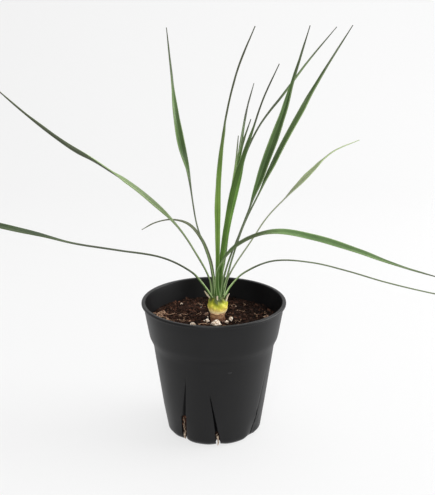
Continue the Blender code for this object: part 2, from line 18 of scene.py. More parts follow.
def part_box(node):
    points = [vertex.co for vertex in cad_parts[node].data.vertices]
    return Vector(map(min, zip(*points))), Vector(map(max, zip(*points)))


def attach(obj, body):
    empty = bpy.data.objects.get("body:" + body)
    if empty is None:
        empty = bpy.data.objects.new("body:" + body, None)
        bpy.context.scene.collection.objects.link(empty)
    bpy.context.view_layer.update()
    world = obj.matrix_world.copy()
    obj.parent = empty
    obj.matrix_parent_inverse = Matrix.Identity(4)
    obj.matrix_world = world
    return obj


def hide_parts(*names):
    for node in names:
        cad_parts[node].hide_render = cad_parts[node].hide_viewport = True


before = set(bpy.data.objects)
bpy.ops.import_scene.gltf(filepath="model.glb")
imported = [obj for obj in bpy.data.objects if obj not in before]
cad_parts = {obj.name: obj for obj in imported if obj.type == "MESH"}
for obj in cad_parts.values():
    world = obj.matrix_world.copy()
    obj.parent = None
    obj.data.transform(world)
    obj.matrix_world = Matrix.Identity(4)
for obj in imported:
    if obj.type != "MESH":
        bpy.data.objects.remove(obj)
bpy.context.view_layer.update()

LOG = logging.getLogger("potted_yucca")
MM = 0.001
BODY = "root"
STEM_AT = (3.3, -1.0)
Piece = bpy.types.Object
Socket = bpy.types.NodeSocket
Pair = tuple[float, float]
Triple = tuple[float, float, float]
Stops = tuple[tuple[float, str], ...]


def linear(colour: str) -> tuple[float, float, float, float]:
    """Turns an sRGB hex colour into linear light with an alpha of one.

    Args:
        colour: Six hex digits after a hash.

    Returns:
        Red, green, blue and alpha.
    """
    shares = [int(colour[i:i + 2], 16) / 255 for i in (1, 3, 5)]
    light = [s / 12.92 if s <= 0.04045 else ((s + 0.055) / 1.055) ** 2.4 for s in shares]
    return (light[0], light[1], light[2], 1.0)


def add_node(tree: bpy.types.NodeTree, kind: str, inputs: dict, stops: Stops = (),
             **settings: object) -> bpy.types.Node:
    """Adds one node with its settings and its links.

    Args:
        tree: The material's nodes.
        kind: Blender's name for the node's type.
        inputs: Input name or number to a value, or to the socket that feeds it.
        stops: Places and hex colours, for a colour ramp.
        **settings: The node's own properties.

    Returns:
        The new node.
    """
    node = tree.nodes.new(kind)
    for name, value in settings.items():
        setattr(node, name, value)
    for name, value in inputs.items():
        if isinstance(value, Socket):
            tree.links.new(value, node.inputs[name])
        else:
            node.inputs[name].default_value = value
    if stops:
        ramp = node.color_ramp.elements
        while len(ramp) < len(stops):
            ramp.new(1.0)
        for element, (place, colour) in zip(ramp, stops):
            element.position = place
            element.color = linear(colour)
    return node


def deselect() -> None:
    """Deselects every object."""
    bpy.ops.object.select_all(action="DESELECT")


def make_active(piece: Piece) -> None:
    """Selects one object alone and makes it the active one.

    Args:
        piece: The object.
    """
    deselect()
    piece.select_set(True)
    bpy.context.view_layer.objects.active = piece


def named(name: str) -> Piece:
    """Names the object that an operator has just made.

    Args:
        name: Its new name.

    Returns:
        The object.
    """
    piece = bpy.context.active_object
    piece.name = name
    return piece


def apply_place(piece: Piece) -> None:
    """Moves an object's place, turn and scale into its mesh."""
    make_active(piece)
    bpy.ops.object.transform_apply(location=True, rotation=True, scale=True)


def apply_modifiers(piece: Piece) -> None:
    """Applies an object's modifiers in order.

    Args:
        piece: The object.
    """
    make_active(piece)
    for modifier in list(piece.modifiers):
        bpy.ops.object.modifier_apply(modifier=modifier.name)


def smooth(piece: Piece, degrees: float = 50.0) -> None:
    """Shades an object smooth, up to edges sharper than an angle."""
    make_active(piece)
    bpy.ops.object.shade_smooth_by_angle(angle=math.radians(degrees))


def edit(kind: str, action: str) -> None:
    """Edits the active object's elements of a kind, with all or none of them selected.

    Args:
        kind: VERT, EDGE or FACE.
        action: SELECT or DESELECT.
    """
    bpy.ops.object.mode_set(mode="EDIT")
    bpy.ops.mesh.select_mode(type=kind)
    bpy.ops.mesh.select_all(action=action)


def stop_editing() -> None:
    """Goes back from the mesh to the object."""
    bpy.ops.object.mode_set(mode="OBJECT")


def weld(reach: float) -> None:
    """Joins an edited mesh's vertices, turns its faces outwards and goes back to the object.

    Args:
        reach: The widest gap that is joined, in metres.
    """
    bpy.ops.mesh.select_all(action="SELECT")
    bpy.ops.mesh.remove_doubles(threshold=reach)
    bpy.ops.mesh.normals_make_consistent(inside=False)
    stop_editing()


def spin_profile(name: str, profile: Sequence[Pair], columns: int) -> Piece:
    """Draws a profile by extruding one vertex, then spins it round Z.

    Args:
        name: The new object's name.
        profile: Points of (radius, height) in millimetres.
        columns: Steps round the axis.

    Returns:
        A closed, turned object at the origin.
    """
    deselect()
    bpy.ops.mesh.primitive_plane_add(size=MM, location=(profile[0][0] * MM, 0.0, profile[0][1] * MM))
    piece = named(name)
    edit("VERT", "SELECT")
    bpy.ops.mesh.merge(type="CENTER")
    for (radius, height), (next_radius, next_height) in zip(profile, profile[1:]):
        step = ((next_radius - radius) * MM, 0.0, (next_height - height) * MM)
        bpy.ops.mesh.extrude_region_move(TRANSFORM_OT_translate={"value": step})
    bpy.ops.mesh.select_all(action="SELECT")
    bpy.ops.mesh.spin(steps=columns, angle=math.tau, center=(0, 0, 0), axis=(0, 0, 1))
    weld(MM / 1000)
    apply_place(piece)
    return piece


def join(name: str, parts: Sequence[Piece]) -> Piece:
    """Joins finished copies into one named object.

    Args:
        name: The joined object's name.
        parts: Objects that it takes in.

    Returns:
        The joined object.
    """
    make_active(parts[0])
    for part in parts:
        part.select_set(True)
    bpy.ops.object.join()
    return named(name)


def widen(vertex: bpy.types.MeshVertex, scale: float) -> None:
    """Moves a vertex away from the Z axis, or towards it."""
    vertex.co.x *= scale
    vertex.co.y *= scale


def round_corners(points: Sequence[Pair], times: int = 2) -> list[Pair]:
    """Cuts a profile's corners, so that it turns in short steps.

    Args:
        points: The profile's points.
        times: How many times each corner is cut.

    Returns:
        The rounded profile, with the same two ends.
    """
    line = list(points)
    for _ in range(times):
        cut = [line[0]]
        for (ax, ay), (bx, by) in zip(line, line[1:]):
            cut.append((0.75 * ax + 0.25 * bx, 0.75 * ay + 0.25 * by))
            cut.append((0.25 * ax + 0.75 * bx, 0.25 * ay + 0.75 * by))
        line = cut + [line[-1]]
    return line


def read_profile(profile: Sequence[Pair], height: float) -> float:
    """Reads a rising profile's radius at a height.

    Args:
        profile: Points of (radius, height), from low to high.
        height: Where it is read.

    Returns:
        The radius there.
    """
    for (inner, low), (outer, high) in zip(profile, profile[1:]):
        if height <= high:
            return inner + (outer - inner) * max(0.0, (height - low) / (high - low))
    return profile[-1][0]


def ease(share: float) -> float:
    """Eases a share from 0 to 1, flat at both ends."""
    share = min(1.0, max(0.0, share))
    return share * share * (3.0 - 2.0 * share)


def between(pairs: Sequence[Pair], share: float) -> float:
    """Reads a value from pairs of (share, value), easing from each to the next.

    Args:
        pairs: The pairs, by rising share.
        share: Where it is read.

    Returns:
        The value there.
    """
    for (start, low), (end, high) in zip(pairs, pairs[1:]):
        if share <= end:
            return low + (high - low) * ease((share - start) / (end - start))
    return pairs[-1][1]


def azimuth_point(azimuth: float, radius: float, height: float) -> Vector:
    """Turns an azimuth in degrees and a radius and height in millimetres into a point in metres."""
    angle = math.radians(azimuth)
    return Vector((radius * math.sin(angle), -radius * math.cos(angle), height)) * MM


def smooth_route(points: Sequence[Triple], steps: int = 8) -> list[Vector]:
    """Runs a smooth curve through a route's points.

    Args:
        points: The knots, in millimetres.
        steps: Steps from one knot to the next.

    Returns:
        Points in metres.
    """
    knots = [Vector(point) * MM for point in points]
    last = len(knots) - 1
    route = [knots[0]]
    for i in range(last):
        before, start, end, after = knots[max(i - 1, 0)], knots[i], knots[i + 1], knots[min(i + 2, last)]
        reach = (end - start).length / 3
        leave = (end - before).normalized() * reach
        arrive = (after - start).normalized() * reach
        route += geometry.interpolate_bezier(start, start + leave, end - arrive, end, steps + 1)[1:]
    return route


def along(route: Sequence[Vector], share: float) -> Vector:
    """Finds the point at a share of a route's length.

    Args:
        route: Its points.
        share: From 0 at its start to 1 at its end.

    Returns:
        The point there.
    """
    steps = [(b - a).length for a, b in zip(route, route[1:])]
    left = share * sum(steps)
    for start, end, step in zip(route, route[1:], steps):
        if left <= step:
            return start.lerp(end, left / step)
        left -= step
    return route[-1].copy()


def tube(name: str, points: Sequence[Vector], radii: Sequence[float], sides: int = 3) -> Piece:
    """Makes a closed tube through points.

    Args:
        name: The new object's name.
        points: Its middle line, in metres.
        radii: Its radius at each point, in millimetres.
        sides: Bevel resolution, which gives four sides and two more for each step.

    Returns:
        A mesh object at the origin.
    """
    curve = bpy.data.curves.new(name, "CURVE")
    curve.dimensions = "3D"
    curve.bevel_depth = MM
    curve.bevel_resolution = sides
    curve.use_fill_caps = True
    spline = curve.splines.new("POLY")
    spline.points.add(len(points) - 1)
    for spot, point, radius in zip(spline.points, points, radii):
        spot.co = (*point, 1.0)
        spot.radius = radius
    piece = bpy.data.objects.new(name, curve)
    bpy.context.scene.collection.objects.link(piece)
    make_active(piece)
    bpy.ops.object.convert(target="MESH")
    edit("VERT", "SELECT")
    weld(MM / 100)
    bpy.ops.object.shade_smooth()
    return bpy.context.active_object


@dataclass(frozen=True)
class Pattern:
    """The nodes that draw one finish, with its shader. Sizes are in millimetres."""
    tree: bpy.types.NodeTree
    shader: bpy.types.Node

    def add(self, kind: str, inputs: dict, output: int | str = 0, **settings: object) -> Socket:
        """Adds a node and returns one of its outputs."""
        return add_node(self.tree, "ShaderNode" + kind, inputs, **settings).outputs[output]

    def feed(self, name: str, value: Socket) -> None:
        """Feeds one of the shader's inputs."""
        self.tree.links.new(value, self.shader.inputs[name])

    def axis(self, place: Socket, number: int) -> Socket:
        """One coordinate of a place."""
        return self.add("SeparateXYZ", {0: place}, number)

    def place(self, output: str = "Object") -> Socket:
        """The place on the object, or on its own map."""
        return self.add("TexCoord", {}, output)

    def noise(self, size: float, detail: float, along_z: float = 1.0) -> Socket:
        """Noise with marks of a size. A share under one draws them out along Z."""
        place = self.add("Mapping", {"Vector": self.place(), "Scale": (1.0, 1.0, along_z)})
        return self.add("TexNoise", {"Vector": place, "Scale": 1 / (size * MM), "Detail": detail})

    def cells(self, size: float, output: str) -> Socket:
        """Cells of a size: their colours, or the distance from their middles."""
        return self.add("TexVoronoi", {"Vector": self.place(), "Scale": 1 / (size * MM)}, output)

    def mesh_value(self, name: str) -> Socket:
        """A value that the mesh holds at each vertex."""
        return self.add("Attribute", {}, "Fac", attribute_name=name)

    def math(self, operation: str, *values: Socket | float) -> Socket:
        """Reckons with values."""
        return self.add("Math", dict(enumerate(values)), operation=operation)

    def span(self, value: Socket, ends: Pair, low: float, high: float | Socket, **settings: str) -> Socket:
        """Maps a value between two ends onto the span from low to high, and holds it there."""
        return self.add("MapRange", {"Value": value, "From Min": ends[0], "From Max": ends[1],
                                     "To Min": low, "To Max": high}, **settings)

    def ramp(self, share: Socket, *stops: tuple[float, str]) -> Socket:
        """Reads a colour from stops."""
        return self.add("ValToRGB", {0: share}, stops=stops)

    def cover(self, share: Socket, colour: Socket, over: str) -> Socket:
        """Lays a hex colour over another colour, by a share."""
        return self.add("Mix", {0: share, 6: colour, 7: linear(over)}, 2, data_type="RGBA")

    def scale(self, colour: Socket, factor: Socket) -> Socket:
        """Makes a colour lighter or darker by a factor."""
        return self.add("VectorMath", {0: colour, "Scale": factor}, operation="SCALE")

    def shaded_to_right(self, colour: Socket) -> Socket:
        """Darkens the colour of soil towards the right with painted shade, and lightens it towards the left
        with painted light.
        """
        across = self.axis(self.place(), 0)
        return self.scale(colour, self.span(across, (-35 * MM, 30 * MM), 1.25, 0.6))

    def finish(self, colour: Socket, relief: Socket, strength: float, depth: float) -> None:
        """Gives the shader its colour and its relief.

        Args:
            colour: The surface's colour.
            relief: What stands out where it is high.
            strength: How strongly the relief shows, up to one.
            depth: How far it stands out.
        """
        self.feed("Base Color", colour)
        bump = {"Height": relief, "Strength": strength, "Distance": depth * MM}
        self.feed("Normal", self.add("Bump", bump))


@dataclass(frozen=True)
class Finish:
    """What a surface is made of. Each kind of finish draws its pattern in dress."""
    name: str
    roughness: float = 0.5
    ior: float = 1.45

    def make(self) -> bpy.types.Material:
        """Returns this finish's material, made the first time that it is asked for.

        Returns:
            The material.
        """
        if self.name in bpy.data.materials:
            return bpy.data.materials[self.name]
        made = bpy.data.materials.new(self.name)
        made.use_nodes = True
        shader = made.node_tree.nodes["Principled BSDF"]
        shader.inputs["Roughness"].default_value = self.roughness
        shader.inputs["IOR"].default_value = self.ior
        self.dress(Pattern(made.node_tree, shader))
        return made

    def dress(self, pattern: Pattern) -> None:
        """Draws the pattern. The plain finish has none."""


@dataclass(frozen=True)
class MouldedPolypropylene(Finish):
    """Injection-moulded black polypropylene: matte, with cloudy flow marks and a fine grain."""
    name: str = "moulded_polypropylene"
    roughness: float = 0.42
    ior: float = 1.49
    gloss: float = 0.25       # 0.5 would give all the reflection that the index asks for
    rubbed: float = 0.72      # share of the gloss that the rubbed step keeps
    step: float = 80.6
    step_reach: float = 5.0
    deep: str = "#0c0c0d"
    worn: str = "#131314"
    cloud: float = 28.0
    grain: float = 0.9        # the real grain is about 0.2 mm, too fine to show here

    def dress(self, pattern: Pattern) -> None:
        """Clouds the colour and the roughness, dulls the rubbed step and raises the grain.

        Args:
            pattern: The material's nodes and its shader.
        """
        above = pattern.math("SUBTRACT", pattern.axis(pattern.place(), 2), self.step * MM)
        away = pattern.math("ABSOLUTE", above)
        gloss = pattern.span(away, (0.0, self.step_reach * MM), self.rubbed * self.gloss, self.gloss,
                             interpolation_type="SMOOTHSTEP")
        pattern.feed("Specular IOR Level", gloss)
        cloud = pattern.noise(self.cloud, 5.0, 0.45)
        rough = pattern.span(cloud, (0.3, 0.7), self.roughness - 0.05, self.roughness + 0.06)
        pattern.feed("Roughness", rough)
        tone = pattern.ramp(cloud, (0.35, self.deep), (0.75, self.worn))
        pattern.finish(tone, pattern.noise(self.grain, 2.0), 0.35, 0.03)


@dataclass(frozen=True)
class PottingMix(Finish):
    """Peat and bark, dry on top: near black with rusty and tan bits, and hardly any gloss."""
    name: str = "potting_mix"
    roughness: float = 0.95
    ior: float = 1.2          # so loose a surface hardly shines
    bit: float = 2.2
    speck: float = 0.8

    def dress(self, pattern: Pattern) -> None:
        """Colours each bit by its cell, and darkens the gaps.

        Args:
            pattern: The material's nodes and its shader.
        """
        bits = pattern.add("SeparateColor", {0: pattern.cells(self.bit, "Color")})
        tone = pattern.ramp(bits, (0.0, "#120b08"), (0.45, "#241711"), (0.8, "#3b261c"), (1.0, "#5e4234"))
        fine = pattern.noise(self.speck, 4.0)
        shade = pattern.span(fine, (0.35, 0.7), 0.35, 1.5)
        # Painted shade towards the right and painted light towards the left.
        pattern.finish(pattern.shaded_to_right(pattern.scale(tone, shade)), fine, 0.9, 0.5)


@dataclass(frozen=True)
class LooseBits(Finish):
    """Crumbs of bark, peat or grit. Each crumb's own tone is in its mesh, from 0 to 1."""
    name: str = "loose_bits"
    roughness: float = 0.9
    ior: float = 1.2
    tones: Stops = (
        (0.0, "#110a06"), (0.42, "#25160f"), (0.7, "#452b20"), (0.88, "#765240"), (1.0, "#c4a68c"))

    def dress(self, pattern: Pattern) -> None:
        """Reads each crumb's tone and mottles it.

        Args:
            pattern: The material's nodes and its shader.
        """
        fine = pattern.noise(0.7, 3.0)
        sway = pattern.math("MULTIPLY_ADD", fine, 0.3, -0.15)
        colour = pattern.ramp(pattern.math("ADD", pattern.mesh_value("tone"), sway), *self.tones)
        # Painted shade towards the right and painted light towards the left.
        pattern.finish(pattern.shaded_to_right(colour), fine, 0.7, 0.3)


@dataclass(frozen=True)
class PorousPumice(Finish):
    """Pumice: a pale, chalky stone, brown and darker in its pits."""
    name: str = "porous_pumice"
    roughness: float = 0.92
    pit: float = 0.9
    pit_patches: float = 2.4
    tones: Stops = ((0.0, "#3a281c"), (0.1, "#80624a"), (0.2, "#d4bea6"), (0.42, "#fcf4e8"))

    def dress(self, pattern: Pattern) -> None:
        """Pits the surface, and darkens the pits.

        Args:
            pattern: The material's nodes and its shader.
        """
        depth = pattern.math("MULTIPLY", pattern.cells(self.pit, "Distance"), pattern.noise(self.pit_patches, 4.0))
        pattern.finish(pattern.ramp(depth, *self.tones), depth, 0.8, 0.4)


@dataclass(frozen=True)
class LivingStem(Finish):
    """A young caudex: corky brown foot, tan band, waxy yellow-green bulb and dark green shoulder."""
    name: str = "living_stem"
    low: float = 92.0
    high: float = 120.0
    streak: float = 0.3
    # The cream bands are the bulb's own colour, made lighter with painted light where it faces down. The
    # shoulder's dark green is its own colour, darkened with painted shade under the stubs.
    bands: Stops = (
        (0.0, "#3b2418"), (0.26, "#7c563e"), (0.35, "#a07a56"), (0.375, "#6e4a30"), (0.4, "#fccc9a"),
        (0.47, "#ffe8b2"), (0.56, "#f6dc86"), (0.64, "#dccc54"), (0.73, "#bcbc3a"), (0.8, "#868c24"),
        (0.87, "#465010"), (1.0, "#374c18"))

    def dress(self, pattern: Pattern) -> None:
        """Bands the stem by height. The bands are uneven and streaky, but firm at the foot.

        Args:
            pattern: The material's nodes and its shader.
        """
        height = pattern.span(pattern.axis(pattern.place(), 2), (self.low * MM, self.high * MM), 0.0, 1.0)
        sway = pattern.math("MULTIPLY_ADD", pattern.noise(5.0, 3.0, self.streak), 0.34, -0.17)
        firm = pattern.span(height, (0.38, 0.55), 0.12, 1.0)
        colour = pattern.ramp(pattern.math("MULTIPLY_ADD", sway, firm, height), *self.bands)
        fine = pattern.noise(1.1, 3.0, self.streak)
        pattern.finish(pattern.scale(colour, pattern.span(fine, (0.3, 0.7), 0.8, 1.35)), fine, 0.5, 0.3)


@dataclass(frozen=True)
class WaxyLeaf(Finish):
    """A yucca leaf's waxy skin: veins along it, painted shade along its fold, a pale horny margin and a dry
    tip.
    """
    roughness: float = 0.45
    ior: float = 1.33
    shade: str = "#2f4a26"
    light: str = "#4f7a3c"
    dry_and_shade: str = "#56574b"     # where the blade dries, and painted shade where it is thin and seen edge-on; the mesh says how far
    margin: str = "#a6bc84"
    root: str = "#3c6022"
    veins: float = 9.0        # shown across a blade; the real ones are twice as fine
    margin_share: float = 0.11
    blotch: float = 32.0

    def dress(self, pattern: Pattern) -> None:
        """Draws the veins along the blade's own map, then its margins, its root, its dry parts and the
        painted shade of its thin parts, and last the painted light and shade along it and across its fold.

        Args:
            pattern: The material's nodes and its shader.
        """
        chart = pattern.place("UV")
        lines = pattern.add("Mapping", {"Vector": chart, "Scale": (self.veins, 1.6, 1.0)})
        veins = pattern.add("TexNoise", {"Vector": lines, "Scale": 1.0, "Detail": 3.0})
        blend = pattern.add("Mix", {0: 0.5, 2: veins, 3: pattern.noise(self.blotch, 3.0)})
        body = pattern.ramp(blend, (0.38, self.shade), (0.62, self.light))
        reach = pattern.math("ABSOLUTE", pattern.math("SUBTRACT", pattern.axis(chart, 0), 0.5))
        foot = pattern.span(pattern.axis(chart, 1), (0.03, 0.2), 0.8, 0.0)
        wider = pattern.math("MULTIPLY_ADD", foot, 0.12, reach)
        horn = pattern.math("MULTIPLY_ADD", foot, 0.6, 0.35)
        edge = pattern.span(wider, (0.5 - self.margin_share, 0.5), 0.0, horn)
        edged = pattern.cover(edge, pattern.cover(foot, body, self.root), self.margin)
        # The dry tone, laid on also as painted shade where the blade is thin.
        aged_and_shaded = pattern.cover(pattern.mesh_value("dry_and_shade"), edged, self.dry_and_shade)
        # Painted shade along the middle of the fold.
        fold_shade = pattern.span(reach, (0.02, 0.1), 0.72, 1.0)
        # The mesh's half value holds painted light and shade along the blade and across its fold.
        lit = pattern.math("MULTIPLY", pattern.mesh_value("half"), fold_shade)
        pattern.finish(pattern.scale(aged_and_shaded, lit), veins, 0.4, 0.12)


@dataclass(frozen=True)
class Straw(Finish):
    """Dry leaf or root: papery and fibrous, from tan to cream."""
    name: str = "dry_straw"
    roughness: float = 0.85
    dark: str = "#a8926c"
    pale: str = "#f2e8d0"

    def dress(self, pattern: Pattern) -> None:
        """Streaks the straw along its height.

        Args:
            pattern: The material's nodes and its shader.
        """
        fibre = pattern.noise(0.8, 4.0, 0.35)
        pattern.finish(pattern.ramp(fibre, (0.3, self.dark), (0.68, self.pale)), fibre, 0.5, 0.15)


@dataclass(frozen=True)
class StudioPaper(Finish):
    """Seamless paper, matte, and lit from within like a light table, so that it is an even white."""
    name: str = "seamless_paper"
    roughness: float = 1.0
    colour: str = "#707070"
    glow: float = 0.7

    def dress(self, pattern: Pattern) -> None:
        """Makes the paper plain and lets it glow.

        Args:
            pattern: The material's nodes and its shader.
        """
        inputs = pattern.shader.inputs
        inputs["Base Color"].default_value = linear(self.colour)
        inputs["Specular IOR Level"].default_value = 0.0
        inputs["Emission Color"].default_value = linear("#ffffff")
        inputs["Emission Strength"].default_value = self.glow


BLACK_PLASTIC = MouldedPolypropylene()
RUBBED_PLASTIC = MouldedPolypropylene(name="rubbed_polypropylene", deep="#1b1b1c", worn="#2b2b2c")
PUMICE = PorousPumice()
DUSTY_PUMICE = PorousPumice(
    name="dusty_pumice", tones=((0.0, "#2c1c14"), (0.12, "#4c3426"), (0.3, "#7c6250"), (0.6, "#c4b09c")))
DRY_LEAF = Straw()
DRY_ROOT = Straw(name="dry_root_bark", dark="#5a3d2c", pale="#c6a284")
SHADED_ROOT = Straw(name="shaded_root_bark", dark="#3e2e24", pale="#a08c78")
FLESHY_ROOT = Straw(name="fleshy_root_skin", roughness=0.6, dark="#70594a", pale="#c4b6a2")


def hang(piece: Piece, finishes: Sequence[Finish], slot: str, *nodes: str) -> None:
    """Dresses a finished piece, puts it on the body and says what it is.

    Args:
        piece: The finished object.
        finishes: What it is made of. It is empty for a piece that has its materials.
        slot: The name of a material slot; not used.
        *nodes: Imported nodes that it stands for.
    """
    for finish in finishes:
        piece.data.materials.append(finish.make())
    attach(piece, BODY)
    if nodes:
        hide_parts(*nodes)
    LOG.info("%s: %d faces, for %s", piece.name, len(piece.data.polygons), ", ".join(nodes) or "nothing")


class LeafTone(Enum):
    """Skins: a name, the slot, the upper side's two greens, the under side's and the tone for drying and
    painted shade.
    """
    DARK = ("dark", "leaf_dark", "#38502a", "#607c44", "#3f522c", "#637a48", "#3e4232")
    MID = ("mid", "leaf_mid", "#3b5a1c", "#638a38", "#3c5a1e", "#658a3a", "#444638")
    # Its upper skin's pale tone is partly its waxy bloom and partly a painted sheen, and its under skin is
    # darkened with painted shade.
    GREY = ("grey", "leaf_mid", "#6a804e", "#93a87a", "#363f2c", "#545c46", "#474b38")
    FRESH = ("fresh", "leaf_mid", "#507240", "#7e9e62", "#4c6a30", "#6f8c4c", "#484b38")
    BRIGHT = ("bright", "leaf_bright", "#48691f", "#7a9c46", "#486a20", "#7a9c44", "#484b38")
    PALE = ("pale", "leaf_pale", "#6e7d52", "#96a478", "#707d56", "#9aa780", "#6f7260")
    OLIVE = ("olive", "leaf_olive", "#3c482c", "#5c6840", "#3e482e", "#5c6644", "#5a5e46")
    DRY = ("dry", "dry_leaf")

    def finishes(self) -> list[Finish]:
        """The upper side's skin and the duller under side's, or one of straw for a dry stub.

        Returns:
            Finishes, in the order of the mesh's materials.
        """
        if self is LeafTone.DRY:
            return [DRY_LEAF]
        name, _, shade, light, under_shade, under_light, dry_and_shade = self.value
        return [WaxyLeaf(f"leaf_skin_{name}_upper", shade=shade, light=light, dry_and_shade=dry_and_shade),
                WaxyLeaf(f"leaf_skin_{name}_under", 0.55, shade=under_shade, light=under_light, dry_and_shade=dry_and_shade)]


@dataclass(frozen=True)
class Slit:
    """One kind of slit: its slant in degrees over its height, and its sizes."""
    slant: float
    crease_top: float
    crease_width: float
    slot_top: float
    slot_width: float


@dataclass
class SlitPot:
    """A slit nursery pot, 120 mm across its rim, with its creases, slots and rolled lip."""
    wall: float = 1.3
    floor: float = 2.5
    outside: tuple[Pair, ...] = (
        (37.0, 0.0), (38.6, 0.7), (40.4, 3.0), (42.0, 14.0), (44.4, 31.0), (47.4, 53.0), (49.1, 65.0),
        (50.9, 78.5), (53.8, 84.0), (57.3, 105.0), (58.1, 111.2))
    lip: tuple[Pair, ...] = (
        (58.1, 111.2), (58.2, 111.5), (59.6, 111.7), (60.0, 112.1), (60.0, 113.3), (59.6, 113.9),
        (59.0, 114.0), (57.6, 114.0), (57.0, 113.7), (56.8, 112.9), (55.7, 104.4))
    inside_high: tuple[Pair, ...] = ((48.9, 78.1), (52.4, 83.6), (55.7, 104.4))
    inside_top: float = 104.0
    thickens_from: float = 60.0
    thickens_over: float = 18.0
    soft_bends: Pair = (4.0, 103.0)     # heights between which the wall's bends are softened
    softening: float = 2.4
    underside_rings: tuple[float, ...] = (0.0, 12.0, 27.0, 30.0, 33.5)
    underside: float = 27.0             # the ring that keeps its place where the rest follows the slits
    slot_inner: float = 30.0            # how far in the slots run under the pot
    slits: int = 8
    first_slit: float = -39.0
    columns_a_slit: int = 36
    crease_columns: int = 5   # on each side of a crease's middle
    straight_above: float = 84.0
    crease_depth: float = 4.6
    crease_shares: tuple[float, ...] = (1.0, 1.0, 0.1, 1.0, 1.0, 1.0, 1.0, 1.0)
    crease_tip: float = 1.0
    crease_radius: float = 50.0
    slot_share: float = 0.22  # the least of a slot's width that a faint crease leaves
    slot_ring: float = 1.1    # from a slot's top to the next ring
    bulge: Triple = (58.0, 17.0, -0.5)  # azimuth and height of a wrinkled bulge, and its depth
    bulge_size: Pair = (6.0, 5.0)       # its spread in degrees and in millimetres
    dip: float = 1.9
    dip_height: float = 22.0
    dip_spread: float = 8.0
    row: float = 2.2          # from one ring to the next
    slack: float = 0.01       # how far off a ring may be and still count as the slot's
    bevel: float = 0.25
    tall: Slit = Slit(12.6, 65.0, 6.0, 25.0, 5.2)
    short: Slit = Slit(-10.5, 53.0, 3.6, 12.4, 3.6)
    mark: Triple = (14.8, 70.4, 1.7)

    def columns(self) -> int:
        """Columns round the whole pot."""
        return self.slits * self.columns_a_slit

    def kind(self, number: int) -> Slit:
        """Tall and short slits take turns round the pot."""
        return self.tall if number % 2 == 0 else self.short

    def crease_azimuth(self, number: int, height: float) -> float:
        """Azimuth of a crease's middle at a height, straightened towards the collar.

        Args:
            number: The slit's number round the pot.
            height: Height on the wall.

        Returns:
            Degrees.
        """
        kind = self.kind(number)
        shift = kind.slant * min(height / kind.crease_top, 1.0)
        if height > kind.crease_top:
            shift *= max(0.0, (self.straight_above - height) / (self.straight_above - kind.crease_top))
        return self.first_slit + 360.0 / self.slits * number + shift

    def crease_half(self, number: int, height: float) -> float:
        """Half of a crease's width at a height, or of its slot's.

        Args:
            number: The slit's number round the pot.
            height: Height on the wall.

        Returns:
            Millimetres.
        """
        kind = self.kind(number)
        crease = max(kind.crease_width * (1.0 - height / kind.crease_top), self.crease_tip) / 2
        if height <= kind.slot_top + self.slack:
            return kind.slot_width / 2 * max(self.slot_share, self.crease_shares[number % self.slits])
        if height > kind.crease_top:
            share = ease((height - kind.crease_top) / (self.straight_above - kind.crease_top))
            even = self.crease_columns * math.tau * self.crease_radius / self.columns()
            return crease + (even - crease) * share
        return crease

    def column_azimuth(self, column: int, height: float, radius: float) -> tuple[float, float]:
        """Places one of the wall's columns.

        Args:
            column: Its number round the pot.
            height: Height on the wall.
            radius: The wall's radius there.

        Returns:
            Its azimuth, and its place in the crease from 0 in the middle to 1 at the edge.
        """
        number, place = divmod(column, self.columns_a_slit)
        own = math.degrees(self.crease_half(number, height) / radius)
        next_own = math.degrees(self.crease_half(number + 1, height) / radius)
        middle = self.crease_azimuth(number, height)
        after = self.crease_azimuth(number + 1, height)
        near = self.crease_columns
        if place <= near:
            return middle + own * place / near, place / near
        if place >= self.columns_a_slit - near:
            back = (self.columns_a_slit - place) / near
            return after - next_own * back, back
        share = (place - near) / (self.columns_a_slit - 2 * near)
        return middle + own + (after - next_own - middle - own) * share, 1.0

    def fold_in(self, number: int, across: float, height: float) -> float:
        """How deep a crease is, at a place across it from 0 in the middle to 1 at the edge.

        Args:
            number: The slit's number round the pot.
            across: The place across the crease.
            height: Height on the wall.

        Returns:
            Its depth.
        """
        top = self.kind(number).crease_top
        if across >= 1.0 or height >= top:
            return 0.0
        share = self.crease_shares[number % self.slits] * (1.0 - across ** 1.3)
        return self.crease_depth * (1.0 - height / top) * share

    def draw_in(self, number: int, across: float, azimuth: float, height: float) -> float:
        """How far the wall is drawn in, by its crease and beside the slots at the base.

        Args:
            number: The nearest slit's number.
            across: The place across its crease.
            azimuth: Azimuth on the wall.
            height: Height on the wall.

        Returns:
            Millimetres towards the axis.
        """
        depth = self.fold_in(number, across, height)
        if height < self.dip_height:
            near = min(abs(azimuth - self.crease_azimuth(number + step, height)) for step in (-1, 0, 1))
            dip = math.exp(-(near / self.dip_spread) ** 2)
            depth += self.dip * dip * (1.0 - height / self.dip_height)
        turn, middle, deep = self.bulge
        wide, tall = self.bulge_size
        away = ((azimuth - turn) / wide) ** 2 + ((height - middle) / tall) ** 2
        if away < 6.0:
            depth += deep * math.exp(-away) * (1.0 + 0.8 * math.sin(height * 1.7 + azimuth * 0.3))
        return depth

    def slot_wall(self, number: int, azimuth: float, height: float) -> float:
        """The wall's outer radius beside a slot."""
        return read_profile(self.outside, height) - self.draw_in(number, 1.0, azimuth, height)

    def heights(self) -> list[float]:
        """Heights of the wall's rings, with one at each slot's top and each bend.

        Returns:
            Heights, from low to high.
        """
        fixed = [height for _, height in self.outside] + [self.floor]
        for kind in (self.tall, self.short):
            fixed += [kind.slot_top, kind.slot_top + self.slot_ring]
        rings = sorted(set(fixed))
        filled = [rings[0]]
        for height in rings[1:]:
            start, gap = filled[-1], height - filled[-1]
            steps = max(1, round(gap / self.row))
            filled += [start + gap * step / steps for step in range(1, steps + 1)]
        return filled

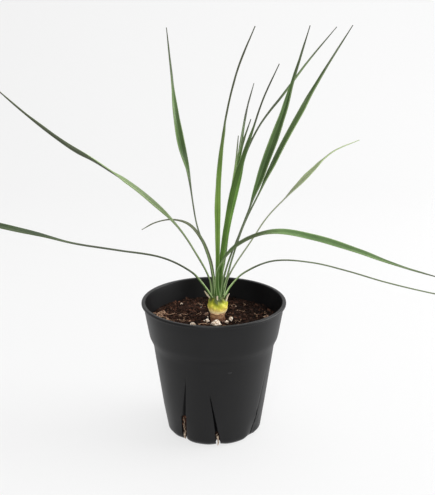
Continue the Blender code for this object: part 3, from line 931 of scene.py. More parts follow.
    def outer_radius(self, height: float) -> float:
        """The wall's outer radius, with its bends softened.

        Args:
            height: Height on the wall.

        Returns:
            The radius.
        """
        if not self.soft_bends[0] <= height <= self.soft_bends[1]:
            return read_profile(self.outside, height)
        low = read_profile(self.outside, height - self.softening)
        high = read_profile(self.outside, height + self.softening)
        return (low + 2 * read_profile(self.outside, height) + high) / 4

    def inner_radius(self, height: float) -> float:
        """The wall's inner radius. The wall thickens towards the step.

        Args:
            height: Height on the wall.

        Returns:
            The radius.
        """
        radius, step = self.inside_high[0]
        if height >= step:
            return read_profile(self.inside_high, height)
        low = self.outer_radius(step) - radius
        share = ease((height - self.thickens_from) / self.thickens_over)
        return self.outer_radius(height) - self.wall - (low - self.wall) * share

    def shape(self, piece: Piece) -> list[tuple[int, float, float]]:
        """Moves a turned wall's columns, or its filling's, to the slits and draws it in.

        Args:
            piece: The turned wall, or its filling.

        Returns:
            For each vertex its column, its height and its radius, all before the move.
        """
        total = self.columns()
        facts = []
        for vertex in piece.data.vertices:
            radius = math.hypot(vertex.co.x, vertex.co.y) / MM
            height = vertex.co.z / MM
            turn = math.degrees(math.atan2(vertex.co.x, -vertex.co.y))
            column = round((turn - self.first_slit) / 360.0 * total) % total
            facts.append((column, height, radius))
            if radius >= self.underside + 0.5:
                azimuth, across = self.column_azimuth(column, height, radius)
                drawn = self.draw_in(round(column / self.columns_a_slit), across, azimuth, height)
                vertex.co = azimuth_point(azimuth, radius - drawn, height)
        return facts

    def cut_slots(self, piece: Piece, facts: Sequence[tuple[int, float, float]]) -> None:
        """Opens the slots by deleting the faces between their columns, and closes their rims.

        Args:
            piece: The shaped wall.
            facts: What shape says of each vertex.
        """
        places = piece.data.attributes.new("place", "FLOAT_VECTOR", "POINT")
        for spot, fact in zip(places.data, facts):
            spot.vector = fact
        make_active(piece)
        for number in range(self.slits):
            start = number * self.columns_a_slit
            steps = range(-self.crease_columns, self.crease_columns + 1)
            inside = {(start + step) % self.columns() for step in steps}
            top = self.kind(number).slot_top + self.slack
            edit("FACE", "DESELECT")
            stop_editing()
            tags = piece.data.attributes["place"].data
            for face in piece.data.polygons:
                marks = [tags[v].vector for v in face.vertices]
                face.select = all(round(mark[0]) in inside and mark[1] <= top
                                  and mark[2] > self.slot_inner - self.slack for mark in marks)
            bpy.ops.object.mode_set(mode="EDIT")
            bpy.ops.mesh.delete(type="FACE")
            edit("EDGE", "DESELECT")
            bpy.ops.mesh.select_non_manifold(extend=False, use_wire=False, use_multi_face=False,
                                             use_non_contiguous=False, use_verts=False)
            bpy.ops.mesh.bridge_edge_loops()
            stop_editing()
        piece.data.attributes.remove(piece.data.attributes["place"])

    def build(self) -> None:
        """Turns the wall, shapes it, opens its slots and dresses it."""
        rings = self.heights()
        outer = [(self.outer_radius(height), height) for height in rings]
        inner = [(self.inner_radius(height), height) for height in rings
                 if self.floor <= height < self.inside_top]
        under = [(radius, 0.0) for radius in self.underside_rings]
        floor = [(radius, self.floor) for radius in self.underside_rings]
        profile = under + outer + round_corners(self.lip)[1:-1] + inner[::-1] + floor[::-1]
        piece = spin_profile("slit_pot", profile, self.columns())
        self.cut_slots(piece, self.shape(piece))
        rims = piece.modifiers.new("rims", "BEVEL")
        rims.width = self.bevel * MM
        rims.segments = 2
        rims.limit_method = "ANGLE"
        rims.angle_limit = math.radians(62)
        apply_modifiers(piece)
        smooth(piece, 45)
        hang(piece, [BLACK_PLASTIC], "black_plastic", "pot")

    def build_mark(self) -> None:
        """Raises the low round mark that the mould leaves on the wall."""
        azimuth, height, radius = self.mark
        deselect()
        bpy.ops.mesh.primitive_uv_sphere_add(
            segments=24, ring_count=12, radius=radius * MM, scale=(1.0, 0.6, 0.16),
            location=azimuth_point(azimuth, self.outer_radius(height) - 0.1, height),
            rotation=(math.radians(90), 0.0, math.radians(azimuth)))
        piece = named("mould_mark")
        apply_place(piece)
        smooth(piece)
        hang(piece, [RUBBED_PLASTIC], "black_plastic")


@dataclass(frozen=True)
class Bits:
    """One kind of loose bit: how many patterns and copies it has, and its lengths and tones."""
    name: str
    patterns: int
    rough: float              # how far its shape departs from a ball
    fine: int                 # subdivisions of the ball that it starts from
    count: int
    lengths: tuple[Pair, Pair, Pair]
    tones: Pair               # the two shape parameters of the beta distribution of its tones


@dataclass
class SoilBed:
    """The potting mix that fills the pot, with its crumbs, slivers and fibres on top."""
    pot: SlitPot
    gap: float = 0.45
    height: float = 96.5
    roughness: float = 1.3
    lump: float = 7.0
    ring: float = 0.75
    hole: float = 6.75
    hole_floor: float = 84.0
    still: float = 51.5       # beyond this radius the stem's place no longer shifts the top
    rim: float = 54.0
    fibres: int = 40
    seed: int = 11
    slot_clear: float = 0.8   # how far under a slot's top it starts to stand out
    bulge: float = 1.2        # how far it stands out in the slots
    fill: float = 0.85        # share of the crease's depth that it fills there
    grains: Pair = (0.55, 0.3)
    grain_sizes: Pair = (2.1, 0.9)
    bits: tuple[Bits, ...] = (
        Bits("peat_crumbs", 4, 0.5, 1, 2300, ((0.8, 2.2), (0.8, 1.8), (0.6, 1.4)), (1.3, 3.2)),
        Bits("bark_chips", 4, 0.7, 2, 420, ((1.8, 4.2), (1.4, 3.0), (0.8, 1.7)), (1.8, 3.0)),
        Bits("bark_slivers", 3, 0.4, 2, 260, ((3.0, 7.0), (0.4, 0.9), (0.3, 0.6)), (2.4, 2.4)))

    def lie(self, x: float, y: float) -> float:
        """Height of the soil's broad form at a place, all in millimetres."""
        place = Vector((x, y, 0.0)) / self.lump
        return self.height + self.roughness * noise.fractal(place, 1.0, 2.0, 2)

    def grain(self, x: float, y: float, z: float) -> float:
        """How far small grains stand out at a place.

        Args:
            x: To the right.
            y: To the back.
            z: Up.

        Returns:
            Millimetres.
        """
        coarse = noise.noise(Vector((x, y, z)) / self.grain_sizes[0])
        fine = noise.noise(Vector((x + 40.0, y, z)) / self.grain_sizes[1])
        return self.grains[0] * abs(coarse) + self.grains[1] * fine

    def from_stem(self, x: float, y: float) -> float:
        """How far a place is from the stem's middle."""
        return math.hypot(x - STEM_AT[0], y - STEM_AT[1])

    def build(self) -> None:
        """Turns the filling, roughens its top and side, and dresses it."""
        pot = self.pot
        low = pot.floor + self.gap
        rim = pot.inner_radius(self.height) - self.gap
        rings = int((rim - self.hole) / self.ring)
        profile = [(0.0, low), (pot.underside, low), (pot.slot_inner, low),
                   (pot.inner_radius(low) - self.gap - 0.3, low)]
        profile += [(pot.inner_radius(h) - self.gap, h) for h in pot.heights()
                    if low + 0.5 < h < self.height - 1.0]
        profile += [(rim - (rim - self.hole) * step / rings, self.height) for step in range(rings + 1)]
        profile += [(self.hole, self.hole_floor), (0.0, self.hole_floor)]
        piece = spin_profile("potting_mix", profile, pot.columns())
        for vertex, (column, _, _) in zip(piece.data.vertices, pot.shape(piece)):
            x, y, z = vertex.co / MM
            radius = math.hypot(x, y)
            side = low + 0.5 < z and radius > pot.slot_inner
            number = round(column / pot.columns_a_slit)
            across = abs(column - number * pot.columns_a_slit) / pot.crease_columns
            if side and across < 1.0 and z < pot.kind(number).slot_top - self.slot_clear:
                widen(vertex, 1.0 + (self.bulge + self.fill * pot.fold_in(number, across, z)) / radius)
                x, y, z = vertex.co / MM
            if self.hole_floor - 1.0 < z < self.hole_floor + 0.5 and radius < self.hole + 1.0:
                vertex.co += Vector((*STEM_AT, 0.0)) * MM
            elif z > self.height - 0.5 and radius < rim - 0.3:
                slide = max(0.0, 1.0 - (radius - self.hole) / (self.still - self.hole))
                x += STEM_AT[0] * slide
                y += STEM_AT[1] * slide
                vertex.co = Vector((x, y, self.lie(x, y) + self.grain(x, y, 0.0))) * MM
            elif side:
                widen(vertex, 1.0 - 0.5 * abs(self.grain(x, y, z)) / radius)
        smooth(piece, 180)
        hang(piece, [PottingMix()], "soil", "soil")

    def crumb(self, kind: Bits, rng: random.Random) -> Piece:
        """Models one lump of bark or peat, a millimetre across, at the origin.

        Args:
            kind: What it is.
            rng: Source of its shape.

        Returns:
            The lump.
        """
        deselect()
        bpy.ops.mesh.primitive_ico_sphere_add(subdivisions=kind.fine, radius=0.5 * MM)
        piece = named(kind.name)
        shift = Vector([rng.uniform(0, 50) for _ in range(3)])
        for vertex in piece.data.vertices:
            vertex.co *= 1.0 + kind.rough * noise.noise(vertex.co * 1500.0 + shift)
        return piece

    def anywhere(self, rng: random.Random, share: float = 1.0) -> Triple:
        """Draws a place on the soil: its distance from the middle, its x and its y.

        Args:
            rng: Source of the place.
            share: Share of the soil's radius that is used.

        Returns:
            The distance, x and y.
        """
        reach = self.rim * share * math.sqrt(rng.random())
        turn = rng.uniform(0.0, math.tau)
        return reach, reach * math.cos(turn), reach * math.sin(turn)

    def scatter(self, kind: Bits, rng: random.Random) -> None:
        """Lays copies of a few patterns on the soil, each with its own mesh and tone, and joins them.

        Args:
            kind: What they are.
            rng: Source of every draw.
        """
        patterns = [self.crumb(kind, rng) for _ in range(kind.patterns)]
        parts = []
        for _ in range(kind.count):
            reach, x, y = self.anywhere(rng)
            sizes = [rng.uniform(*ends) for ends in kind.lengths]
            lean = Euler((rng.gauss(0, 0.35), rng.gauss(0, 0.35), rng.uniform(0, math.tau)))
            tone = rng.betavariate(*kind.tones)
            pattern = rng.choice(patterns)
            half = max(sizes) / 2
            if self.from_stem(x, y) < self.hole + half - 0.4 or reach + half > self.rim + 0.6:
                continue
            mesh = pattern.data.copy()
            spot = Vector((x, y, self.lie(x, y) + 0.25 + 0.25 * sizes[2])) * MM
            mesh.transform(Matrix.LocRotScale(spot, lean, Vector(sizes)))
            tones = mesh.attributes.new("tone", "FLOAT", "POINT")
            tones.data.foreach_set("value", [tone] * len(mesh.vertices))
            parts.append(bpy.data.objects.new(kind.name, mesh))
            bpy.context.scene.collection.objects.link(parts[-1])
        for pattern in patterns:
            bpy.data.objects.remove(pattern)
        hang(join(kind.name, parts), [LooseBits()], "soil")

    def walk(self, rng: random.Random, start: Triple, step: float, turns: Pair,
             lifts: Sequence[float], jitter: float = 0.0, margin: float = 0.0) -> list[Triple]:
        """Walks a root over the soil, and leaves out what is off it or in the stem.

        Args:
            rng: Source of its turns.
            start: Its first x and y, and its heading.
            step: Millimetres from one point to the next.
            turns: How far it turns at each step, and how much that varies.
            lifts: Each point's height over the soil.
            jitter: How much more it may be.
            margin: How far from the soil's rim it stays.

        Returns:
            Its points.
        """
        x, y, heading = start
        places = []
        for lift in lifts:
            if math.hypot(x, y) < self.rim - margin and self.from_stem(x, y) > self.hole + 0.6:
                extra = rng.uniform(0.0, jitter) if jitter else 0.0
                places.append((x, y, self.lie(x, y) + lift + extra))
            heading += turns[0] + rng.gauss(0, turns[1])
            x += step * math.cos(heading)
            y += step * math.sin(heading)
        return places

    def dress_top(self) -> None:
        """Adds the loose bits, and short curling rootlets joined as one piece."""
        rng = random.Random(self.seed)
        for kind in self.bits:
            self.scatter(kind, rng)
        rng = random.Random(self.seed + 1)
        parts = []
        for _ in range(self.fibres):
            _, x, y = self.anywhere(rng, 0.92)
            start = (x, y, rng.uniform(0.0, math.tau))
            places = self.walk(rng, start, 1.7, (0.0, 0.8), [0.7] * 6, jitter=0.9)
            if len(places) > 2:
                route = smooth_route(places, 4)
                parts.append(tube("rootlet", route, [0.16] * len(route), 0))
        hang(join("rootlets", parts), [DRY_ROOT], "dry_root")


@dataclass
class Stem:
    """The swollen stem, from its corky foot in the soil up to its crown of leaf scars."""
    columns: int = 144
    step: float = 0.45
    crown: tuple[Pair, ...] = (
        (0.0, 119.6), (2.4, 119.3), (4.6, 118.4), (6.1, 117.0), (7.1, 115.0), (7.9, 112.6))
    bulb: tuple[Pair, ...] = (
        (8.4, 109.8), (8.3, 107.6), (7.5, 105.0), (6.5, 103.2), (5.9, 102.4), (6.3, 100.6), (6.2, 98.0),
        (6.4, 95.0), (5.8, 88.0), (4.2, 85.0), (0.0, 84.4))
    scars: int = 5
    scar_depth: float = 0.25
    scars_between: Pair = (107.6, 119.3)
    ribs: int = 11
    ribs_from: float = 109.0
    ribs_rise: float = 5.0    # how far up they grow to their full depth
    rib_depth: float = 0.16
    cork_top: float = 104.5
    cork_rise: float = 1.5    # how far down it grows to its full depth
    cork_lumps: Triple = (1.0, 0.35, -0.4)   # depth of coarse and fine lumps, and what is taken off
    cork_sizes: Pair = (2.4, 0.8)
    cork_ring: float = 0.18
    unevenness: float = 0.12
    round_about: float = 6.0  # radius on which the lumps are drawn

    def crown_height(self, x: float, y: float) -> float:
        """Height of the crown under a place, all in millimetres.

        Args:
            x: To the right.
            y: To the back.

        Returns:
            The height.
        """
        radius = math.hypot(x - STEM_AT[0], y - STEM_AT[1])
        profile = self.crown + (self.bulb[0],)
        for (inner, high), (outer, low) in zip(profile, profile[1:]):
            if radius <= outer:
                return high + (low - high) * (radius - inner) / (outer - inner)
        return profile[-1][1]

    def swell(self, azimuth: float, height: float) -> float:
        """How far the skin stands out at a place: scars, ribs, cork and rings.

        Args:
            azimuth: In radians from the front.
            height: In millimetres.

        Returns:
            Millimetres.
        """
        grown = 0.0
        if self.scars_between[0] < height < self.scars_between[1]:
            grown += self.scar_depth * math.cos(azimuth * self.scars + height)
            share = ease((height - self.ribs_from) / self.ribs_rise)
            wave = math.sin(azimuth * self.ribs / 2 + 0.4 * math.sin(3 * azimuth))
            grown += self.rib_depth * share * abs(wave)
        place = Vector((math.sin(azimuth) * self.round_about, math.cos(azimuth) * self.round_about, height))
        if height < self.cork_top:
            share = ease((self.cork_top - height) / self.cork_rise)
            coarse, fine, less = self.cork_lumps
            lumps = coarse * noise.noise(place / self.cork_sizes[0])
            lumps += fine * noise.noise(place / self.cork_sizes[1])
            grown += share * (lumps + less)
            grown += share * self.cork_ring * math.sin(height * 3.1 + 1.5 * noise.noise(place / 4.0))
        return grown + self.unevenness * noise.noise(place / 3.0)

    def build(self) -> None:
        """Turns the stem, shapes its skin and dresses it."""
        profile = round_corners(self.crown + self.bulb)
        fine = [profile[0]]
        for (r0, z0), (r1, z1) in zip(profile, profile[1:]):
            steps = max(1, round(math.hypot(r1 - r0, z1 - z0) / self.step))
            fine += [(r0 + (r1 - r0) * i / steps, z0 + (z1 - z0) * i / steps)
                     for i in range(1, steps + 1)]
        piece = spin_profile("swollen_stem", fine, self.columns)
        for vertex in piece.data.vertices:
            radius = math.hypot(vertex.co.x, vertex.co.y) / MM
            if radius > 1.0:
                azimuth = math.atan2(vertex.co.x, -vertex.co.y)
                widen(vertex, 1.0 + self.swell(azimuth, vertex.co.z / MM) * min(1.0, radius / 4.0) / radius)
            vertex.co += Vector((*STEM_AT, 0.0)) * MM
        smooth(piece, 180)
        hang(piece, [LivingStem()], "stem", "stem")


@dataclass
class Blade:
    """One folded leaf or stub, along the route of the node that it stands for."""
    name: str
    root: Pair                # azimuth and distance from the stem's middle
    route: tuple[Triple, ...]
    widths: tuple[Pair, ...]  # pairs of (share of the length, millimetres)
    twist: tuple[Pair, ...]   # pairs of (share of the length, degrees)
    tone: LeafTone
    fold: tuple[Pair, ...] = ((0.0, 40.0), (0.3, 28.0), (1.0, 26.0))
    # how far the skin turns to the dry tone along the blade: drying, and painted shade on thin parts
    dry_and_shade: tuple[Pair, ...] = ((0.0, 0.0), (0.1, 0.2), (0.25, 0.4), (0.4, 0.1), (0.7, 0.15),
                              (0.88, 0.6), (1.0, 1.0))
    lean: float = 0.0         # painted light on one half of the fold and painted shade on the other: how much lighter one half is than the middle tone
    light: tuple[Pair, ...] = ((0.0, 1.0), (1.0, 1.0))  # lightness of its skin along it: partly its own tone and partly painted light and shade
    columns: int = 10
    rows: int = 130
    thickness: float = 1.1
    thin_edge: float = 0.75   # share of the thickness that the margin keeps
    thin_tip: float = 0.4     # share of the thickness that the tip loses
    sunk: float = 0.7         # how far its foot reaches into the crown
    keel: float = 0.08        # how round the fold's bottom is
    ripple: float = 0.12
    look_ahead: float = 0.01

    def frames(self, stem: Stem) -> list[tuple[Vector, Vector, Vector]]:
        """Follows the route from the crown: each row's point, its way across and its way up.

        Args:
            stem: The stem that it grows from.

        Returns:
            A point and two directions for each row.
        """
        outward = azimuth_point(self.root[0], 1.0, 0.0).normalized()
        x = STEM_AT[0] + outward.x * self.root[1]
        y = STEM_AT[1] + outward.y * self.root[1]
        route = smooth_route(((x, y, stem.crown_height(x, y) - self.sunk),) + self.route)
        side = Vector((-outward.y, outward.x, 0.0))
        frames = []
        for row in range(self.rows + 1):
            share = row / self.rows
            ahead = along(route, min(share + self.look_ahead, 1.0))
            ahead -= along(route, max(share - self.look_ahead, 0.0))
            ahead.normalize()
            side = (side - ahead * side.dot(ahead)).normalized()
            turned = Matrix.Rotation(math.radians(between(self.twist, share)), 3, ahead) @ side
            frames.append((along(route, share), turned, ahead.cross(turned)))
        return frames

    def build(self, stem: Stem) -> None:
        """Lays a grid along the route, folds, twists and thickens it, and dresses it.

        Args:
            stem: The stem that it grows from.
        """
        deselect()
        bpy.ops.mesh.primitive_grid_add(x_subdivisions=self.columns, y_subdivisions=self.rows, size=1.0)
        piece = named(self.name.replace("leaf_", "blade_").replace("stub_", "dry_stub_"))
        frames = self.frames(stem)
        weights = piece.vertex_groups.new(name="thickness")
        dry_and_shade_shares, painted_light_and_shade = [], []
        for vertex in piece.data.vertices:
            row = round((vertex.co.y + 0.5) * self.rows)
            across = -vertex.co.x * 2.0
            share = row / self.rows
            point, turned, face = frames[row]
            fold = math.radians(between(self.fold, share))
            half = between(self.widths, share) / 2 * MM
            rise = math.sqrt(across ** 2 + self.keel ** 2) - self.keel
            ripple = self.ripple * MM * noise.noise(Vector((share * 22.0, across * 0.8, self.root[0])))
            vertex.co = point + turned * half * across * math.cos(fold)
            vertex.co += face * (half * rise * math.sin(fold) + ripple * abs(across))
            edge = 1.0 - (1.0 - self.thin_edge) * across ** 4
            tip = 1.0 - self.thin_tip * ease((share - 0.9) / 0.1)
            weights.add([vertex.index], edge * tip, "REPLACE")
            dry_and_shade_shares.append(between(self.dry_and_shade, share))
            # Painted light and shade, kept in the mesh's half value: one half of the fold lighter and the
            # other darker, and the skin lighter or darker along the blade.
            lit = 1.0 + self.lean * (2.0 * ease(0.5 + 2.5 * across) - 1.0)
            painted_light_and_shade.append(lit * between(self.light, share))
        for name, values in (("dry_and_shade", dry_and_shade_shares), ("half", painted_light_and_shade)):
            piece.data.attributes.new(name, "FLOAT", "POINT").data.foreach_set("value", values)
        finishes = self.tone.finishes()
        for finish in finishes:
            piece.data.materials.append(finish.make())
        shell = piece.modifiers.new("thickness", "SOLIDIFY")
        shell.thickness = self.thickness * MM
        shell.offset = 0.0
        shell.vertex_group = weights.name
        shell.material_offset = len(finishes) - 1
        apply_modifiers(piece)
        smooth(piece, 60)
        hang(piece, [], self.tone.value[1], self.name)


LEAVES = (
    Blade("leaf_left_high", (-105, 5.4),
          ((-4, 1, 132), (-12, 3, 148), (-29, 6, 174), (-56, 10, 200), (-86.6, 15, 220.7),
           (-119.3, 20, 240), (-149.8, 25, 262.3), (-179, 30, 287)),
          ((0, 3.2), (0.1, 3.0), (0.25, 3.2), (0.37, 4.8), (0.62, 4.8), (0.78, 3.3), (0.88, 1.8), (1, 0.7)),
          ((0, 0), (0.08, 20), (0.22, 18), (0.37, -40), (0.47, -25), (0.54, 24), (0.68, 84), (1, 70)),
          LeafTone.GREY, fold=((0, 40), (0.1, 24), (0.25, 22), (0.35, 30), (1, 28)),
          dry_and_shade=((0, 0), (0.1, 0.4), (0.25, 0.5), (0.4, 0.35), (0.6, 0.2), (0.88, 0.6), (1, 1))),
    Blade("leaf_left_low", (-58, 5.6),
          ((-9, -8, 130), (-19, -13, 143), (-41, -24, 158), (-73, -39, 168.4), (-104, -56, 179),
           (-133, -75, 193), (-162, -95, 206), (-190, -118, 214)),
          ((0, 3.2), (0.15, 3.5), (0.5, 3.7), (0.7, 4.4), (0.8, 4.5), (0.92, 2.8), (1, 0.7)),
          ((0, 0), (0.3, 5), (0.54, 3), (0.76, -52), (1, -55)),
          LeafTone.DARK, fold=((0, 30), (0.12, 18), (0.5, 16), (0.65, 22), (1, 22)),
          dry_and_shade=((0, 0), (0.06, 0.2), (0.16, 0.85), (0.5, 0.85), (0.62, 0.4), (0.75, 0.1), (1, 0.1)),
          light=((0, 1.1), (0.03, 1.5), (0.08, 1.3), (0.14, 0.8), (0.3, 0.7), (0.55, 0.55), (0.65, 0.36),
                 (0.75, 0.32), (0.85, 0.38), (1, 0.5))),
    Blade("leaf_left_upright", (-100, 3.2),
          ((-1, 4, 133), (-4.7, 8, 148), (-14, 17, 173), (-20, 29, 205), (-27.4, 44, 237), (-33.6, 58, 268),
           (-37.3, 74, 299), (-41, 90, 330)),
          ((0, 3.2), (0.1, 3.0), (0.3, 3.5), (0.4, 4.9), (0.57, 7.0), (0.66, 5.7), (0.8, 3.5), (0.9, 1.9),
           (1, 0.7)),
          ((0, 10), (0.38, 11), (0.57, -76), (0.82, -8), (1, 0)),
          LeafTone.DARK, fold=((0, 40), (0.15, 24), (0.26, 7), (0.36, 8), (0.46, 30), (1, 24)),
          dry_and_shade=((0, 0.2), (0.2, 0.5), (0.3, 0.9), (0.38, 0.7), (0.46, 0.1), (0.75, 0.15), (0.85, 0.7),
                (1, 1)),
          lean=0.15, light=((0, 1), (0.3, 0.9), (0.4, 0.65), (0.5, 0.8), (0.57, 1), (0.67, 0.8), (1, 0.85))),
    Blade("leaf_left_kinked", (-150, 5.6),
          ((0, 7, 125), (-1, 12, 132), (-3.6, 20, 143), (-10.6, 31, 157), (-21.7, 42, 167.3), (-37, 52, 169),
           (-52, 61, 164), (-65, 70, 155)),
          ((0, 3.2), (0.55, 3.2), (0.68, 2.2), (0.8, 1.0), (1, 0.7)),
          ((0, 0), (0.5, 5), (0.68, 5), (1, 20)), LeafTone.OLIVE, fold=((0, 25), (1, 15)),
          dry_and_shade=((0, 0.3), (0.3, 0.6), (0.5, 0.7), (0.7, 1), (1, 1)),
          light=((0, 1), (0.15, 0.8), (0.5, 0.85), (0.7, 1), (1, 1.3))),
    Blade("leaf_front_upright", (-22, 3.4),
          ((3, -8, 150), (3, -15, 178), (3.1, -26, 213), (5.4, -39, 246), (10, -55, 278), (17, -74, 308),
           (27, -95, 335)),
          ((0, 3.2), (0.12, 3.5), (0.25, 4.5), (0.33, 5.3), (0.45, 4.9), (0.6, 3.7), (0.75, 2.8), (0.87, 2.3),
           (1, 0.7)),
          ((0, 10), (0.3, 12), (0.43, -12), (0.52, -20), (0.6, -40), (0.66, -72), (0.8, -76), (1, -80)),
          LeafTone.BRIGHT, fold=((0, 40), (0.3, 33), (0.55, 30), (0.7, 17), (1, 17)),
          dry_and_shade=((0, 0), (0.45, 0), (0.62, 0.5), (0.7, 0.9), (1, 1)), lean=-0.12,
          light=((0, 0.8), (0.15, 0.85), (0.3, 0.9), (1, 0.95))),
    Blade("leaf_centre_broad", (20, 2.2),
          ((6, -4, 146), (9.3, -7, 169), (14.2, -12, 198), (20.4, -17, 226), (28.4, -24, 254),
           (36.5, -32, 282), (47.2, -40, 308)),
          ((0, 3.2), (0.15, 4.1), (0.3, 6.0), (0.45, 7.5), (0.53, 6.8), (0.62, 5.0), (0.72, 3.5), (0.84, 2.3),
           (1, 0.7)),
          ((0, -15), (0.5, -12), (0.6, 18), (0.66, 22), (0.76, 60), (1, 60)),
          LeafTone.MID, fold=((0, 40), (0.3, 32), (0.65, 28), (0.8, 14), (1, 14)),
          dry_and_shade=((0, 0), (0.55, 0), (0.7, 0.4), (0.8, 0.9), (1, 1)), lean=0.2,
          light=((0, 0.9), (0.35, 0.95), (0.43, 0.82), (0.6, 0.65), (0.75, 0.7), (1, 1))),
    Blade("leaf_centre_back", (-165, 4.3),
          ((5, 10, 129), (8, 17, 141), (11, 29, 162), (15, 44, 187), (20, 60, 212), (24, 77, 235),
           (29, 94, 259), (36, 111, 281)),
          ((0, 3.2), (0.2, 3.5), (0.5, 4.1), (0.65, 3.5), (0.8, 2.2), (0.9, 1.3), (1, 0.7)),
          ((0, 0), (1, 30)), LeafTone.DARK,
          dry_and_shade=((0, 0), (0.6, 0.1), (0.75, 0.5), (0.85, 1), (1, 1)),
          light=((0, 0.9), (0.4, 0.75), (1, 0.8))),
    Blade("leaf_young_long", (150, 1.6),
          ((6, 3, 139), (9, 8, 156), (12, 14, 177), (15, 21, 198), (19, 29, 218), (24, 38, 238),
           (31, 48, 257)),
          ((0, 3.0), (0.5, 3.0), (0.75, 2.6), (0.86, 1.9), (0.93, 1.1), (1, 0.7)),
          ((0, 0), (1, 40)), LeafTone.MID, dry_and_shade=((0, 0), (0.75, 0.1), (0.9, 0.8), (1, 1)),
          light=((0, 0.9), (0.4, 0.75), (1, 0.75))),
    Blade("leaf_young_short", (-90, 1.0),
          ((3, 0, 137), (6, 2, 152), (9, 5, 171), (12, 9, 190), (15, 13, 208), (18, 18, 227),
           (20, 23, 247)),
          ((0, 2.8), (0.4, 2.8), (0.8, 1.8), (1, 0.7)),
          ((0, -60), (1, -40)), LeafTone.BRIGHT, dry_and_shade=((0, 0), (0.75, 0.2), (1, 1))),
    Blade("leaf_back_twisted", (150, 4.0),
          ((7, 6, 134), (9, 12, 151), (14, 22, 180), (22, 35, 216), (37.4, 47, 249.8), (60, 62, 277),
           (82.7, 79, 304.5), (106.5, 95, 330.5)),
          ((0, 3.2), (0.3, 3.9), (0.5, 3.5), (0.67, 3.7), (0.8, 3.2), (0.9, 1.7), (1, 0.7)),
          ((0, -20), (0.4, -50), (0.55, -54), (0.68, -35), (0.8, -38), (1, -50)),
          LeafTone.DARK, fold=((0, 30), (0.3, 20), (1, 18)),
          dry_and_shade=((0, 0.1), (0.38, 0.2), (0.46, 0.8), (0.66, 0.8), (0.72, 0.3), (0.8, 0.4), (0.88, 0.8),
                (1, 1)),
          light=((0, 0.9), (0.4, 0.8), (0.5, 0.7), (0.66, 0.8), (0.75, 1), (1, 0.8))),
    Blade("leaf_right_broad", (48, 4.3),
          ((8, -4, 132), (12, -5, 148), (21, -6, 173), (32.5, -8, 205), (42.4, -10, 237.4),
           (53.2, -12, 269.2), (62, -15, 301), (70.8, -18, 334)),
          ((0, 3.2), (0.2, 3.6), (0.33, 4.1), (0.4, 5.2), (0.5, 7.0), (0.6, 7.2), (0.72, 5.4), (0.82, 3.9),
           (0.9, 2.4), (1, 0.7)),
          ((0, 20), (0.12, 35), (0.34, 36), (0.48, 108), (0.6, 125), (0.7, 108), (0.84, 65), (1, 45)),
          LeafTone.DARK, fold=((0, 40), (0.12, 22), (0.25, 12), (0.34, 12), (0.45, 30), (1, 24)),
          dry_and_shade=((0, 0.1), (0.1, 0.4), (0.25, 0.7), (0.34, 0.7), (0.42, 0.05), (0.78, 0.1), (0.88, 0.7),
                (1, 1)),
          lean=0.2, light=((0, 1), (0.4, 0.95), (0.57, 0.8), (0.7, 0.95), (1, 1))),
    Blade("leaf_right_tall", (95, 3.6),
          ((11, 0, 133), (15.3, 2, 149), (24.8, 6, 177), (40.4, 11, 209), (56.1, 18, 241), (74.1, 25, 273),
           (92.2, 32, 303), (111.5, 40, 333)),
          ((0, 3.2), (0.15, 3.5), (0.35, 3.7), (0.5, 4.8), (0.7, 4.8), (0.8, 3.5), (0.9, 2.1), (1, 0.7)),
          ((0, -4), (0.12, -8), (0.36, -6), (0.5, 62), (0.66, 72), (0.75, 32), (0.9, 5), (1, 0)),
          LeafTone.DARK, fold=((0, 40), (0.12, 18), (0.25, 11), (0.36, 12), (0.46, 30), (1, 24)),
          dry_and_shade=((0, 0.1), (0.1, 0.6), (0.3, 0.7), (0.42, 0.2), (0.75, 0.4), (0.88, 0.7), (1, 1)), lean=-0.1,
          light=((0, 1), (0.45, 0.95), (0.57, 1.1), (0.75, 0.9), (1, 0.9))),
    Blade("leaf_right_pale", (118, 5.7),
          ((11, 6, 128), (17, 12, 139), (30, 22, 156), (46, 36, 176), (66, 51, 193), (85, 66, 209),
           (106, 81, 224), (131, 95, 232)),
          ((0, 3.2), (0.2, 3.0), (0.5, 2.8), (0.58, 3.7), (0.66, 4.7), (0.74, 3.4), (0.82, 1.6), (0.9, 1.0),
           (1, 0.7)),
          ((0, -10), (0.12, -27), (0.5, -24), (0.64, 50), (0.71, 50), (0.8, 0), (1, -10)),
          LeafTone.PALE, fold=((0, 28), (0.1, 16), (0.22, 8), (0.5, 8), (0.6, 22), (1, 15)),
          dry_and_shade=((0, 0.1), (0.1, 0.7), (0.52, 0.9), (0.6, 0.4), (0.7, 0.25), (1, 0.4)),
          light=((0, 1), (0.3, 1.1), (0.5, 1.1), (0.6, 0.8), (0.7, 0.95), (0.8, 1.05), (1, 1.2))),
    Blade("leaf_right_arching", (12, 5.6),
          ((3, -8, 131), (5, -11, 146), (19, -18, 167), (46, -27, 180), (78, -37, 178), (108, -49, 171.3),
           (137, -62, 163.4), (167, -75, 157.8)),
          ((0, 3.2), (0.2, 3.3), (0.33, 3.6), (0.48, 5.1), (0.6, 5.2), (0.72, 4.1), (0.82, 2.8), (0.9, 1.8),
           (1, 0.7)),
          ((0, 10), (0.06, 10), (0.24, 112), (0.34, 100), (0.45, 115), (0.6, 125), (0.76, 102), (0.9, 52),
           (1, 42)),
          LeafTone.FRESH, fold=((0, 40), (0.3, 30), (1, 28)),
          dry_and_shade=((0, 0), (0.12, 0.1), (0.2, 0.6), (0.33, 0.8), (0.45, 0.1), (0.75, 0.15), (0.88, 0.6), (1, 1)),
          light=((0, 1), (0.15, 0.9), (0.3, 0.85), (0.45, 1), (0.6, 0.9), (0.75, 0.8), (1, 0.85)),
          lean=-0.05),
    Blade("leaf_right_low", (75, 5.9),
